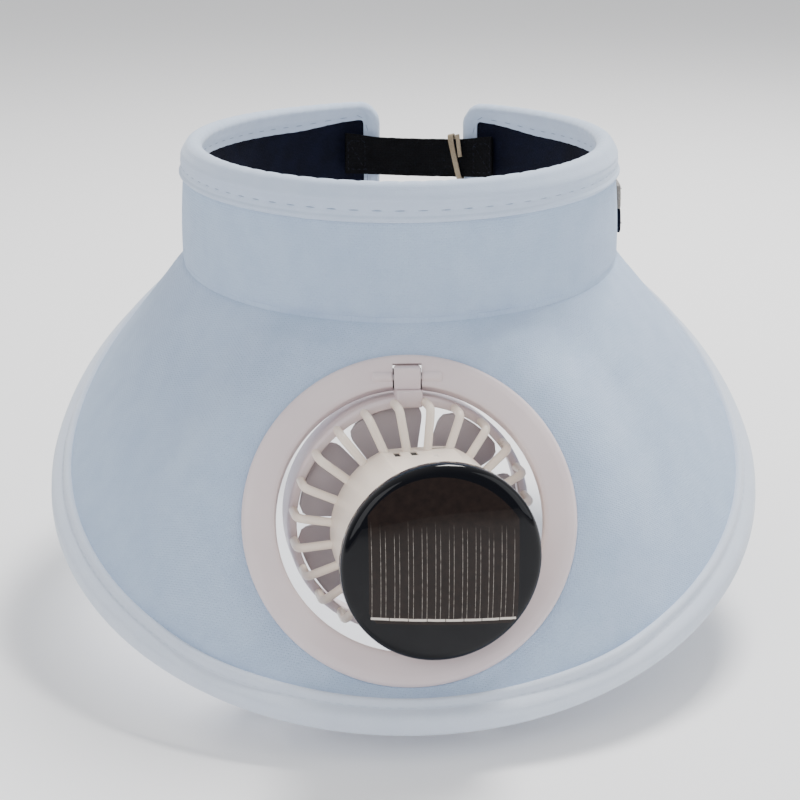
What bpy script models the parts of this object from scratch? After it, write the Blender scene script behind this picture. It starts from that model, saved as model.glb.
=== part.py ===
"""Open-crown sun hat with a wide sloping brim and a small solar fan set in the brim's front.

The hat is as worn, with its band level; the origin is the middle of the band at the seam, where
the head carries it. The band is an upright C of cloth with a rolled and bound edge, closed behind
by a narrow strap. A round plastic bezel is let into the brim, and the fan swings on a pin at the
top of the bezel.
Metres, +Z up, front of the hat towards -Y.
"""
import math

import bmesh
import bpy
from mathutils import Matrix, Vector

# Driving dimensions

BAND_HALF_WIDTH = 0.0800       # outer face of the band at the seam
BAND_HALF_LENGTH = 0.0985
BAND_TAPER = 0.0018            # how much narrower the band is at its top, each side
BAND_HEIGHT = 0.0406           # seam to the cut edge of the cloth
BAND_REAR_DROP = 0.0030        # the band is this much lower behind
BAND_WALL = 0.0022
BAND_END_RADIUS = 0.0070
GAP_LEFT_X = -0.0090           # the two ends of the band behind
GAP_RIGHT_X = 0.0330
LINING_WALL = 0.0012
SEAM_HEIGHT = 0.0002

BINDING_WALL = 0.0010          # cloth tape folded over the band's edge
BINDING_OUTER_LEG = 0.0095
BINDING_INNER_LEG = 0.0080
BINDING_END_LEG = 0.0050
ROLL_BULGE = 0.0011

BRIM_WALL = 0.0024
BRIM_START_DROP = 0.0012       # cloth edge of the brim below the seam
BRIM_END_ANGLE = math.radians(146)
RIM_HALF_WIDTH = 0.1193        # cut edge of the brim, seen from above
RIM_FRONT_REACH = 0.1203
RIM_REAR_REACH = 0.1490
RIM_CENTRE_Y = -0.0747
RIM_TURN_ANGLE = math.radians(140)   # sets how fast the rim's turn falls behind the seam's
RIM_TILT = math.radians(20.8)  # plane of the rim against the plane of the seam
RIM_DROP = 0.0341              # seam's middle above the plane of the rim
RIM_CLOSE_START = math.radians(102)  # from here the rim draws in to the band
RIM_TAPE_WALL = 0.0012
RIM_TAPE_DEPTH = 0.0072
RIM_TAPE_EASE = 0.0007         # room between tape and brim, for the cloth's curve

STRAP_HEIGHT = 0.0160
STRAP_BOTTOM = 0.0105
STRAP_WALL = 0.0012
STRAP_OVERLAP = 0.0150
STRAP_DIP = 0.0020
KEEPER_WIDTH = 0.0034
KEEPER_WALL = 0.0009
KEEPER_X = 0.0250
KEEPER_SLANT = math.radians(14)

TAB_START_ANGLE = math.radians(84)
TAB_LENGTH = 0.0280
TAB_BOTTOM = 0.0058
TAB_SPLIT = 0.0152
TAB_TOP = 0.0240
TAB_WALL = 0.0017

BEZEL_RADIUS = 0.05065
BEZEL_BORE = 0.0405
BEZEL_FLANGE = 0.0020
BEZEL_BACK_RADIUS = 0.0462
BEZEL_BACK_FLANGE = 0.0012
BEZEL_TUBE_WALL = 0.0015
BEZEL_TOP_SHARE = 0.7512        # share of the brim's spare width that lies above the bezel
BEZEL_PITCH = math.radians(56.4)
BEZEL_EASE = 0.0600            # width of the zone in which the brim leaves the bezel's plane
SLOT_HALF_WIDTH = 0.0045
SLOT_TOP = 0.0474
NOTCH_OVERRUN = 0.0030          # how far the cloth's notches run into its hole
PIN_UP = 0.0432                # hinge pin above the bezel's centre
PIN_DEPTH = 0.0010             # hinge pin behind the bezel's front face
PIN_RADIUS = 0.0009
PIN_HALF_LENGTH = 0.0100
BOSS_RADIUS = 0.0019
BOSS_LENGTH = 0.0063

TILT_REST = math.radians(27.6)   # fan swung in at the bottom
SWIVEL_REST = math.radians(10.6)
KNUCKLE_HALF_WIDTH = 0.0039
KNUCKLE_HEIGHT = 0.0062
KNUCKLE_DEPTH = 0.0052
PIVOT_RADIUS = 0.0014
PIVOT_LENGTH = 0.0034

FAN_DROP = 0.0440              # hinge pin to the fan's centre
RING_RADIUS = 0.0387
RING_WALL = 0.0030
RING_FRONT = 0.0035
RING_DEPTH = 0.0125
RIB_COUNT = 24
RIB_RADIUS = 0.00125
RIB_RISE = 0.0083
RIB_BEND = 0.0022
HUB_RADIUS = 0.0270
HUB_BACK = 0.0110
HUB_FRONT = 0.0432
HUB_WALL = 0.0016
HUB_CAVITY_RADIUS = 0.0226
HUB_FACET = 0.0246             # flat on the hub's top side
HUB_FACET_START = 0.0156
RECESS_PLACES = (-0.0070, -0.0018)
RECESS_SIZE = (0.0030, 0.0010, 0.0016)
RECESS_FROM_EDGE = 0.0026
PANEL_RADIUS = 0.0295
PANEL_RIM = 0.0048
PANEL_DOME = 0.0032

BLADE_COUNT = 7
BLADE_TIP = 0.0352
BLADE_WALL = 0.0011
BLADE_SPAN = math.radians(44)
BLADE_PITCH = math.radians(17)
ROTOR_RADIUS = 0.0115
ROTOR_FRONT = 0.0068
ROTOR_BACK = -0.0062
SHAFT_RADIUS = 0.0012

FIT = 0.0003                   # clearance between pieces that touch or run in each other

BAND_COLUMNS = 38
CORNER_STEPS = 3
BRIM_FRONT_COLUMNS = 22
BRIM_SIDE_COLUMNS = 12
BRIM_FRONT_ANGLE = math.radians(42)
BRIM_ROWS = 8
ROUND_STEPS = 44


# Scene, materials and small helpers

def clear_scene():
    for old in list(bpy.data.objects):
        bpy.data.objects.remove(old, do_unlink=True)


def make_collection(name):
    collection = bpy.data.collections.new(name)
    bpy.context.scene.collection.children.link(collection)
    return collection


def make_material(name, colour, roughness, metallic=0.0):
    material = bpy.data.materials.new(name)
    material.use_nodes = True
    shader = material.node_tree.nodes["Principled BSDF"]
    shader.inputs["Base Color"].default_value = (*colour, 1.0)
    shader.inputs["Roughness"].default_value = roughness
    shader.inputs["Metallic"].default_value = metallic
    return material


def make_empty(name, parent=None, location=(0, 0, 0), rotation=(0, 0, 0)):
    empty = bpy.data.objects.new(name, None)
    empty.parent = parent
    empty.location = location
    empty.rotation_euler = rotation
    hat_parts.objects.link(empty)
    return empty


def add_object(name, mesh, material, parent):
    obj = bpy.data.objects.new(name, mesh)
    obj.parent = parent
    mesh.materials.clear()
    mesh.materials.append(material)
    hat_parts.objects.link(obj)
    return obj


def as_cutter(obj):
    """Move an object to the cutters, which are guides and no pieces of the hat."""
    for collection in list(obj.users_collection):
        collection.objects.unlink(obj)
    cutters.objects.link(obj)
    obj.hide_render = True
    obj.display_type = "WIRE"
    return obj


def boolean(obj, other, operation):
    modifier = obj.modifiers.new(operation.lower(), "BOOLEAN")
    modifier.operation = operation
    modifier.solver = "EXACT"
    modifier.object = other
    return modifier


def solidify(obj, wall):
    modifier = obj.modifiers.new("wall", "SOLIDIFY")
    modifier.thickness = wall
    modifier.offset = 0.0
    modifier.use_even_offset = True
    return modifier


def round_edges(obj, width, segments=1):
    modifier = obj.modifiers.new("edges", "BEVEL")
    modifier.width = width
    modifier.segments = segments
    modifier.limit_method = "ANGLE"
    return modifier


def shade_round(obj, angle=math.radians(40)):
    obj.data.shade_smooth()
    obj.data.set_sharp_from_angle(angle=angle)


def grid_mesh(name, rows):
    """An open sheet through rows of points, each row as long as the next."""
    sheet = bmesh.new()
    vertices = [[sheet.verts.new(point) for point in row] for row in rows]
    for low, high in zip(vertices, vertices[1:]):
        for i in range(len(low) - 1):
            sheet.faces.new((low[i], low[i + 1], high[i + 1], high[i]))
    bmesh.ops.recalc_face_normals(sheet, faces=sheet.faces)
    mesh = bpy.data.meshes.new(name)
    sheet.to_mesh(mesh)
    sheet.free()
    return mesh


def turned(name, profile, material, parent, steps=ROUND_STEPS, closed=True):
    """A solid of revolution about local Z; the profile runs down its outer side first."""
    outline = bmesh.new()
    points = [outline.verts.new((radius, 0.0, height)) for radius, height in profile]
    for first, second in zip(points, points[1:]):
        outline.edges.new((first, second))
    if closed:
        outline.edges.new((points[-1], points[0]))
    mesh = bpy.data.meshes.new(name)
    outline.to_mesh(mesh)
    outline.free()
    obj = add_object(name, mesh, material, parent)
    screw = obj.modifiers.new("turn", "SCREW")
    screw.steps = steps
    screw.render_steps = steps
    screw.use_merge_vertices = True
    screw.merge_threshold = 0.00001
    return obj


def box(name, size, centre, material, parent):
    block = bmesh.new()
    bmesh.ops.create_cube(block, size=1.0)
    bmesh.ops.scale(block, vec=size, verts=block.verts)
    bmesh.ops.translate(block, vec=centre, verts=block.verts)
    mesh = bpy.data.meshes.new(name)
    block.to_mesh(mesh)
    block.free()
    return add_object(name, mesh, material, parent)


def rod(name, radius, length, centre, along, material, parent, sides=16):
    """A round bar along X, Y or Z."""
    bar = bmesh.new()
    bmesh.ops.create_cone(bar, cap_ends=True, segments=sides, radius1=radius, radius2=radius, depth=length)
    turn = Vector((0, 0, 1)).rotation_difference(Vector(along)).to_matrix()
    bmesh.ops.rotate(bar, cent=(0, 0, 0), matrix=turn, verts=bar.verts)
    bmesh.ops.translate(bar, vec=centre, verts=bar.verts)
    mesh = bpy.data.meshes.new(name)
    bar.to_mesh(mesh)
    bar.free()
    return add_object(name, mesh, material, parent)


def ease(value):
    """0 below 0, 1 above 1 and smooth between."""
    value = min(max(value, 0.0), 1.0)
    return value * value * (3.0 - 2.0 * value)


# The band's surface: angle 0 is the front, positive angles go to +X

def band_height(angle):
    rear = ease((abs(angle) - math.radians(60)) / math.radians(110))
    return BAND_HEIGHT - BAND_REAR_DROP * rear


def band_normal(angle):
    normal = Vector((math.sin(angle) / BAND_HALF_WIDTH, -math.cos(angle) / BAND_HALF_LENGTH, 0.0))
    return normal.normalized()


def band_point(angle, height, outward=0.0):
    """A point at a height over the seam; outward 0 is the middle of the band's cloth."""
    narrowing = BAND_TAPER * height / BAND_HEIGHT
    half_width = BAND_HALF_WIDTH - narrowing
    half_length = BAND_HALF_LENGTH - narrowing * 0.5
    on_face = Vector((half_width * math.sin(angle), -half_length * math.cos(angle), height))
    return on_face + band_normal(angle) * (outward - BAND_WALL / 2)


def angle_at_x(x):
    """Angle, measured round the back, at which the band's face is at x."""
    return math.pi - math.asin(x / BAND_HALF_WIDTH)


LEFT_END = angle_at_x(-GAP_LEFT_X) * -1.0
RIGHT_END = angle_at_x(GAP_RIGHT_X)


def arc_step(angle, distance):
    """Angle reached from another one by walking a distance along the band."""
    speed = math.hypot(BAND_HALF_WIDTH * math.cos(angle), BAND_HALF_LENGTH * math.sin(angle))
    return angle + distance / speed


def end_columns(end, inwards):
    """Angles and top edges of the rounded corner at one end of the band."""
    columns = []
    for step in range(CORNER_STEPS + 1):
        turn = math.radians(90) * step / CORNER_STEPS
        inset = BAND_END_RADIUS * (1.0 - math.cos(turn))
        angle = arc_step(end, inset * inwards)
        drop = BAND_END_RADIUS * (1.0 - math.sin(turn))
        columns.append((angle, band_height(angle) - drop, turn))
    return columns


def band_columns():
    """Angle, top edge and turn of the edge for every column of the band's cloth."""
    left = end_columns(LEFT_END, 1.0)
    right = end_columns(RIGHT_END, -1.0)
    first = left[-1][0]
    last = right[-1][0]
    middle = []
    for step in range(1, BAND_COLUMNS):
        angle = first + (last - first) * step / BAND_COLUMNS
        middle.append((angle, band_height(angle), math.radians(90)))
    return left, middle, right[::-1]


def band_sheet(name, outward, wall, bottom, material):
    """One layer of the band's cloth, from a height over the seam to the rounded top edge."""
    left, middle, right = band_columns()
    columns = left + middle + right
    rows = []
    for share in (0.0, 0.5, 1.0):
        row = [band_point(angle, bottom + (top - bottom) * share, outward) for angle, top, turn in columns]
        rows.append(row)
    obj = add_object(name, grid_mesh(name, rows), material, hat_frame)
    solidify(obj, wall)
    shade_round(obj)
    return obj


# Tape folded over an edge

def folded_tape(name, stations, wall, material):
    """Sweep a folded tape along an edge.

    Each station holds the edge point, the direction out of the cloth in its own plane, the
    cloth's normal, and the tape's section as pairs of (across, beyond the edge).
    """
    rows = []
    for edge, beyond, normal, section in stations:
        rows.append([edge + normal * across + beyond * reach for across, reach in section])
    obj = add_object(name, grid_mesh(name, rows), material, hat_frame)
    solidify(obj, wall)
    shade_round(obj, math.radians(50))
    return obj


def band_tape_section(outer_leg, inner_leg):
    """Section of the tape over band and lining: flat legs and a fuller roll over the edge."""
    outer = BAND_WALL / 2 + FIT + BINDING_WALL / 2
    inner = outer + FIT + LINING_WALL
    crest = BINDING_WALL / 2 + 2 * FIT
    roll = 0.0042
    return [
        (outer, -outer_leg),
        (outer, -roll),
        (outer + ROLL_BULGE, -roll * 0.45),
        (outer * 0.75, crest * 0.7),
        (-inner * 0.2, crest + 0.0004),
        (-inner * 1.02, crest * 0.4),
        (-inner - ROLL_BULGE * 0.7, -roll * 0.5),
        (-inner, -roll),
        (-inner, -inner_leg),
    ]


def band_tape_stations():
    left, middle, right = band_columns()
    stations = []

    def add(angle, top, turn, side, share):
        edge = band_point(angle, top)
        upwards = (band_point(angle, BAND_HEIGHT) - band_point(angle, 0.0)).normalized()
        along = Vector((0, 0, 1)).cross(band_normal(angle))
        normal = along.cross(upwards)
        beyond = upwards * math.sin(turn) + along * side * math.cos(turn)
        outer_leg = BINDING_END_LEG + (BINDING_OUTER_LEG - BINDING_END_LEG) * share
        inner_leg = BINDING_END_LEG + (BINDING_INNER_LEG - BINDING_END_LEG) * share
        section = band_tape_section(outer_leg, inner_leg)
        stations.append((edge, beyond, normal, section))

    add(left[0][0], SEAM_HEIGHT, 0.0, -1.0, 0.0)
    for angle, top, turn in left:
        add(angle, top, turn, -1.0, 0.0)
    for index, (angle, top, turn) in enumerate(middle):
        from_end = min(index + 1, len(middle) - index)
        add(angle, top, turn, 1.0, ease(from_end / 4.0))
    for angle, top, turn in right:
        add(angle, top, turn, 1.0, 0.0)
    add(right[-1][0], SEAM_HEIGHT, 0.0, 1.0, 0.0)
    return stations


# The brim: straight from the seam to a rim that lies in one plane

def rim_plane_down():
    return Vector((0.0, math.sin(RIM_TILT), -math.cos(RIM_TILT)))


def on_rim_plane(x, y):
    """A point of the rim's plane, from its place across and along that plane."""
    along = Vector((0.0, math.cos(RIM_TILT), math.sin(RIM_TILT)))
    return Vector((x, 0.0, 0.0)) + along * y + rim_plane_down() * RIM_DROP


def brim_seam(angle):
    return band_point(angle, -BRIM_START_DROP)


def brim_rim(angle):
    """Cut edge of the brim opposite an angle of the seam."""
    share = angle / RIM_TURN_ANGLE
    turn = angle * (1.31 - 0.17 * share * share)
    reach = RIM_FRONT_REACH if abs(turn) < math.pi / 2 else RIM_REAR_REACH
    lying = on_rim_plane(RIM_HALF_WIDTH * math.sin(turn), RIM_CENTRE_Y - reach * math.cos(turn))
    down = (Vector((0, 0, -1)) + band_normal(angle) * 0.45).normalized()
    seam = brim_seam(angle)
    width = (RIM_DROP - seam.dot(rim_plane_down())) / down.dot(rim_plane_down())
    close = ease((abs(angle) - RIM_CLOSE_START) / (BRIM_END_ANGLE - RIM_CLOSE_START))
    return lying.lerp(seam + down * width, close)


def brim_front_line():
    """Start and direction of the brim's outer face on the hat's centre line."""
    start = band_point(0.0, 0.0, BAND_WALL / 2)
    direction = (brim_rim(0.0) - brim_seam(0.0)).normalized()
    return start, direction


def bezel_axes():
    """Centre, upwards direction and outward normal of the bezel, in the band's frame."""
    start, direction = brim_front_line()
    spare = (brim_rim(0.0) - start).dot(direction) - RIM_TAPE_DEPTH - 2 * BEZEL_RADIUS
    centre = start + direction * (BEZEL_RADIUS + spare * BEZEL_TOP_SHARE)
    up = Vector((0, math.cos(BEZEL_PITCH), math.sin(BEZEL_PITCH)))
    normal = Vector((0, -math.sin(BEZEL_PITCH), math.cos(BEZEL_PITCH)))
    return centre, up, normal


def flattened(point, share):
    """Pull the brim's cloth into the bezel's plane where the bezel grips it."""
    centre, up, normal = bezel_axes()
    offset = point - centre
    depth = offset.dot(normal)
    distance = (offset - normal * depth).length
    cloth_plane = -BEZEL_FLANGE - FIT - BRIM_WALL / 2
    grip = BEZEL_RADIUS + 0.003
    hold = 1.0 - ease((distance - grip) / (BEZEL_EASE - 0.030))
    edges = min(share / BRIM_TOP_MARGIN, (1.0 - share) / BRIM_LOW_MARGIN, 1.0)
    return point + normal * (cloth_plane - depth) * hold * edges


BRIM_TOP_MARGIN = 0.085
BRIM_LOW_MARGIN = 0.095


def brim_angles():
    side = BRIM_END_ANGLE - BRIM_FRONT_ANGLE
    left = [-BRIM_END_ANGLE + side * i / BRIM_SIDE_COLUMNS for i in range(BRIM_SIDE_COLUMNS)]
    front = [BRIM_FRONT_ANGLE * (2.0 * i / BRIM_FRONT_COLUMNS - 1.0) for i in range(BRIM_FRONT_COLUMNS + 1)]
    right = [-angle for angle in reversed(left)]
    return left + front + right


def brim_shares():
    low = 1.0 - BRIM_LOW_MARGIN
    middle = [BRIM_TOP_MARGIN + (low - BRIM_TOP_MARGIN) * i / BRIM_ROWS for i in range(BRIM_ROWS + 1)]
    return [0.0] + middle + [1.0]


def brim_point(angle, share):
    straight = brim_seam(angle).lerp(brim_rim(angle), share)
    return flattened(straight, share)


def brim_tape_section(depth):
    across = BRIM_WALL / 2 + RIM_TAPE_EASE + RIM_TAPE_WALL / 2
    tip = RIM_TAPE_EASE + RIM_TAPE_WALL / 2
    return [
        (across, -depth),
        (across + 0.0003, -depth * 0.35),
        (across * 0.8, tip + 0.0004),
        (0.0, tip + 0.0010),
        (-across * 0.8, tip + 0.0004),
        (-across - 0.0003, -depth * 0.35),
        (-across, -depth),
    ]


def brim_tape_stations():
    stations = []
    small = math.radians(1.0)
    for angle in brim_angles():
        edge = brim_rim(angle)
        beyond = (edge - brim_point(angle, 1.0 - BRIM_LOW_MARGIN)).normalized()
        depth = min(RIM_TAPE_DEPTH, (edge - brim_seam(angle)).length * 0.75)
        before = max(angle - small, -BRIM_END_ANGLE)
        after = min(angle + small, BRIM_END_ANGLE)
        along = (brim_rim(after) - brim_rim(before)).normalized()
        normal = along.cross(beyond).normalized()
        if normal.dot(band_normal(angle)) < 0:
            normal.negate()
        beyond = (beyond - along * beyond.dot(along)).normalized()
        stations.append((edge, beyond, normal, brim_tape_section(depth)))
    return stations


# Pieces of cloth

def make_band():
    band_sheet("crown_band", 0.0, BAND_WALL, SEAM_HEIGHT, pale_cloth)
    inset = -(BAND_WALL / 2 + FIT + LINING_WALL / 2)
    band_sheet("sweatband", inset, LINING_WALL, SEAM_HEIGHT + 0.001, navy_cloth)
    folded_tape("band_binding", band_tape_stations(), BINDING_WALL, pale_tape)


def make_brim():
    rows = [[brim_point(angle, share) for angle in brim_angles()] for share in brim_shares()]
    brim = add_object("brim", grid_mesh("brim", rows), pale_cloth, hat_frame)
    solidify(brim, BRIM_WALL)
    shade_round(brim)
    tube = BEZEL_BORE + BEZEL_TUBE_WALL + FIT
    hole = as_cutter(rod("brim_hole", tube, 0.03, (0, 0, 0), (0, 0, 1), pale_cloth, bezel_frame, ROUND_STEPS))
    boolean(brim, hole, "DIFFERENCE")
    boss_end = SLOT_HALF_WIDTH + BOSS_LENGTH
    notches = (
        ("brim_slot_notch", SLOT_HALF_WIDTH + 2 * FIT, SLOT_TOP + 2 * FIT),
        ("brim_boss_notch", boss_end + FIT, PIN_UP + BOSS_RADIUS + FIT),
    )
    for name, half_width, top in notches:
        depth = top - BEZEL_BORE + NOTCH_OVERRUN
        notch = box(name, (2 * half_width, depth, 0.03), (0, top - depth / 2, 0), pale_cloth, bezel_frame)
        boolean(brim, as_cutter(notch), "DIFFERENCE")
    folded_tape("brim_binding", brim_tape_stations(), RIM_TAPE_WALL, pale_tape)


def make_strap():
    """Narrow strap inside the two ends of the band, and the loop it runs through."""
    inside_tape = BAND_WALL / 2 + FIT * 3 + LINING_WALL + BINDING_WALL
    outward = -(inside_tape + ROLL_BULGE * 0.7 + STRAP_WALL / 2)
    first = arc_step(RIGHT_END, -STRAP_OVERLAP)
    last = arc_step(2 * math.pi + LEFT_END, STRAP_OVERLAP)
    count = 12
    rows = []
    for share in (0.0, 0.5, 1.0):
        row = []
        for i in range(count + 1):
            angle = first + (last - first) * i / count
            dip = STRAP_DIP * math.sin(math.pi * i / count)
            row.append(band_point(angle, STRAP_BOTTOM + STRAP_HEIGHT * share - dip, outward))
        rows.append(row)
    strap = add_object("rear_strap", grid_mesh("rear_strap", rows), black_webbing, hat_frame)
    solidify(strap, STRAP_WALL)

    angle = angle_at_x(KEEPER_X)
    centre = band_point(angle, STRAP_BOTTOM + STRAP_HEIGHT / 2 - STRAP_DIP * 0.7, outward)
    normal = band_normal(angle)
    along = Vector((0, 0, 1)).cross(normal)
    up = (Vector((0, 0, 1)) * math.cos(KEEPER_SLANT) - along * math.sin(KEEPER_SLANT)).normalized()
    side = up.cross(normal)
    half_height = STRAP_HEIGHT / 2 / math.cos(KEEPER_SLANT) + FIT * 3 + KEEPER_WALL / 2
    half_depth = STRAP_WALL / 2 + 2 * FIT + KEEPER_WALL / 2
    loop = [(half_depth, -half_height), (half_depth, half_height), (-half_depth, half_height)]
    loop.append((-half_depth, -half_height))
    ring = bmesh.new()
    edges = []
    for shift in (-KEEPER_WIDTH / 2, KEEPER_WIDTH / 2):
        edges.append([ring.verts.new(centre + normal * d + up * h + side * shift) for d, h in loop])
    for i in range(len(loop)):
        j = (i + 1) % len(loop)
        ring.faces.new((edges[0][i], edges[0][j], edges[1][j], edges[1][i]))
    bmesh.ops.recalc_face_normals(ring, faces=ring.faces)
    mesh = bpy.data.meshes.new("strap_keeper")
    ring.to_mesh(mesh)
    ring.free()
    keeper = add_object("strap_keeper", mesh, tan_tape, hat_frame)
    solidify(keeper, KEEPER_WALL)


def make_side_tab():
    """Small folded tab of hook-and-loop tape on the band's side."""
    outward = BAND_WALL / 2 + FIT + TAB_WALL / 2
    last = arc_step(TAB_START_ANGLE, TAB_LENGTH)
    pieces = (
        ("side_tab", TAB_BOTTOM, TAB_SPLIT - FIT / 2, navy_cloth, 0.0035),
        ("side_tab_pad", TAB_SPLIT + FIT / 2, TAB_TOP, tan_tape, 0.0),
    )
    count = 6
    for name, bottom, top, material, corner in pieces:
        rows = [[], []]
        for i in range(count + 1):
            angle = TAB_START_ANGLE + (last - TAB_START_ANGLE) * i / count
            rounding = corner * max(0.0, 1.0 - i / 1.5) ** 2
            rows[0].append(band_point(angle, bottom + rounding, outward))
            rows[1].append(band_point(angle, top, outward))
        tab = add_object(name, grid_mesh(name, rows), material, hat_frame)
        solidify(tab, TAB_WALL)


# Bezel and fan

def make_bezel():
    """Ring in two flanges that grip the brim, slotted at the top for the fan's arm."""
    tube = BEZEL_BORE + BEZEL_TUBE_WALL
    grip = -BEZEL_FLANGE - BRIM_WALL - 2 * FIT
    back = grip - BEZEL_BACK_FLANGE
    chamfer = 0.0006
    profile = [
        (BEZEL_RADIUS - 2 * chamfer, 0.0),
        (BEZEL_RADIUS, -chamfer),
        (BEZEL_RADIUS, -BEZEL_FLANGE),
        (tube, -BEZEL_FLANGE),
        (tube, grip),
        (BEZEL_BACK_RADIUS, grip),
        (BEZEL_BACK_RADIUS, back),
        (BEZEL_BORE, back),
        (BEZEL_BORE, -chamfer),
        (BEZEL_BORE + chamfer, 0.0),
    ]
    bezel = turned("fan_bezel", profile, white_plastic, bezel_frame)
    shade_round(bezel)
    boss_centre = SLOT_HALF_WIDTH + BOSS_LENGTH / 2
    pin_at = (0, PIN_UP, -PIN_DEPTH)
    for name, side in (("boss_left", -1), ("boss_right", 1)):
        at = (side * boss_centre, PIN_UP, -PIN_DEPTH)
        boss = rod(name, BOSS_RADIUS, BOSS_LENGTH, at, (1, 0, 0), white_plastic, bezel_frame, 12)
        boolean(bezel, as_cutter(boss), "UNION")
    slot_low = BEZEL_BORE - 0.003
    slot_size = (2 * SLOT_HALF_WIDTH, SLOT_TOP - slot_low, 0.03)
    slot = box("bezel_slot", slot_size, (0, (SLOT_TOP + slot_low) / 2, 0), white_plastic, bezel_frame)
    boolean(bezel, as_cutter(slot), "DIFFERENCE")
    bore_length = 2 * (PIN_HALF_LENGTH + FIT)
    bore = rod("bezel_pin_bore", PIN_RADIUS + FIT, bore_length, pin_at, (1, 0, 0), white_plastic, bezel_frame, 12)
    boolean(bezel, as_cutter(bore), "DIFFERENCE")
    rod("hinge_pin", PIN_RADIUS, 2 * PIN_HALF_LENGTH, pin_at, (1, 0, 0), steel, bezel_frame, 12)


def make_knuckle():
    """Block on the hinge pin, with the pivot that the fan swivels on."""
    size = (2 * KNUCKLE_HALF_WIDTH, KNUCKLE_HEIGHT, KNUCKLE_DEPTH)
    knuckle = box("hinge_knuckle", size, (0, 0, 0), white_plastic, tilt_axis)
    round_edges(knuckle, 0.0008)
    pivot_length = PIVOT_LENGTH + 0.001
    pivot_at = (0, -KNUCKLE_HEIGHT / 2 + 0.001 - pivot_length / 2, 0)
    pivot = rod("knuckle_pivot", PIVOT_RADIUS, pivot_length, pivot_at, (0, 1, 0), white_plastic, tilt_axis, 12)
    boolean(knuckle, as_cutter(pivot), "UNION")
    bore_length = 2 * KNUCKLE_HALF_WIDTH + 0.004
    bore = rod("knuckle_bore", PIN_RADIUS + FIT, bore_length, (0, 0, 0), (1, 0, 0), white_plastic, tilt_axis, 12)
    boolean(knuckle, as_cutter(bore), "DIFFERENCE")


def rib_mesh():
    """All the ribs of the guard: up from the ring, over a bend and in to the hub."""
    outer = RING_RADIUS - RIB_RADIUS - 0.0002
    top = RING_FRONT + RIB_RISE
    path = [
        (outer, RING_FRONT - 0.002),
        (outer, top - RIB_BEND),
        (outer - RIB_BEND * 0.3, top - RIB_BEND * 0.3),
        (outer - RIB_BEND, top),
        (HUB_RADIUS - HUB_WALL * 0.6, top + 0.0019),
    ]
    curve = bpy.data.curves.new("rib_path", "CURVE")
    curve.dimensions = "3D"
    curve.bevel_depth = RIB_RADIUS
    curve.bevel_resolution = 1
    curve.use_fill_caps = True
    spline = curve.splines.new("POLY")
    spline.points.add(len(path) - 1)
    for point, (radius, height) in zip(spline.points, path):
        point.co = (0.0, radius, height, 1.0)
    rib = bpy.data.objects.new("rib_curve", curve)
    cutters.objects.link(rib)
    evaluated = rib.evaluated_get(bpy.context.evaluated_depsgraph_get())
    single = bpy.data.meshes.new_from_object(evaluated)
    bpy.data.objects.remove(rib, do_unlink=True)
    ribs = bmesh.new()
    for index in range(RIB_COUNT):
        before = set(ribs.verts)
        ribs.from_mesh(single)
        added = [vertex for vertex in ribs.verts if vertex not in before]
        turn = Matrix.Rotation((index + 0.5) * 2 * math.pi / RIB_COUNT, 3, "Z")
        bmesh.ops.rotate(ribs, cent=(0, 0, 0), matrix=turn, verts=added)
    bmesh.ops.remove_doubles(ribs, verts=ribs.verts, dist=0.00001)
    mesh = bpy.data.meshes.new("guard_ribs")
    ribs.to_mesh(mesh)
    ribs.free()
    return mesh


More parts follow.
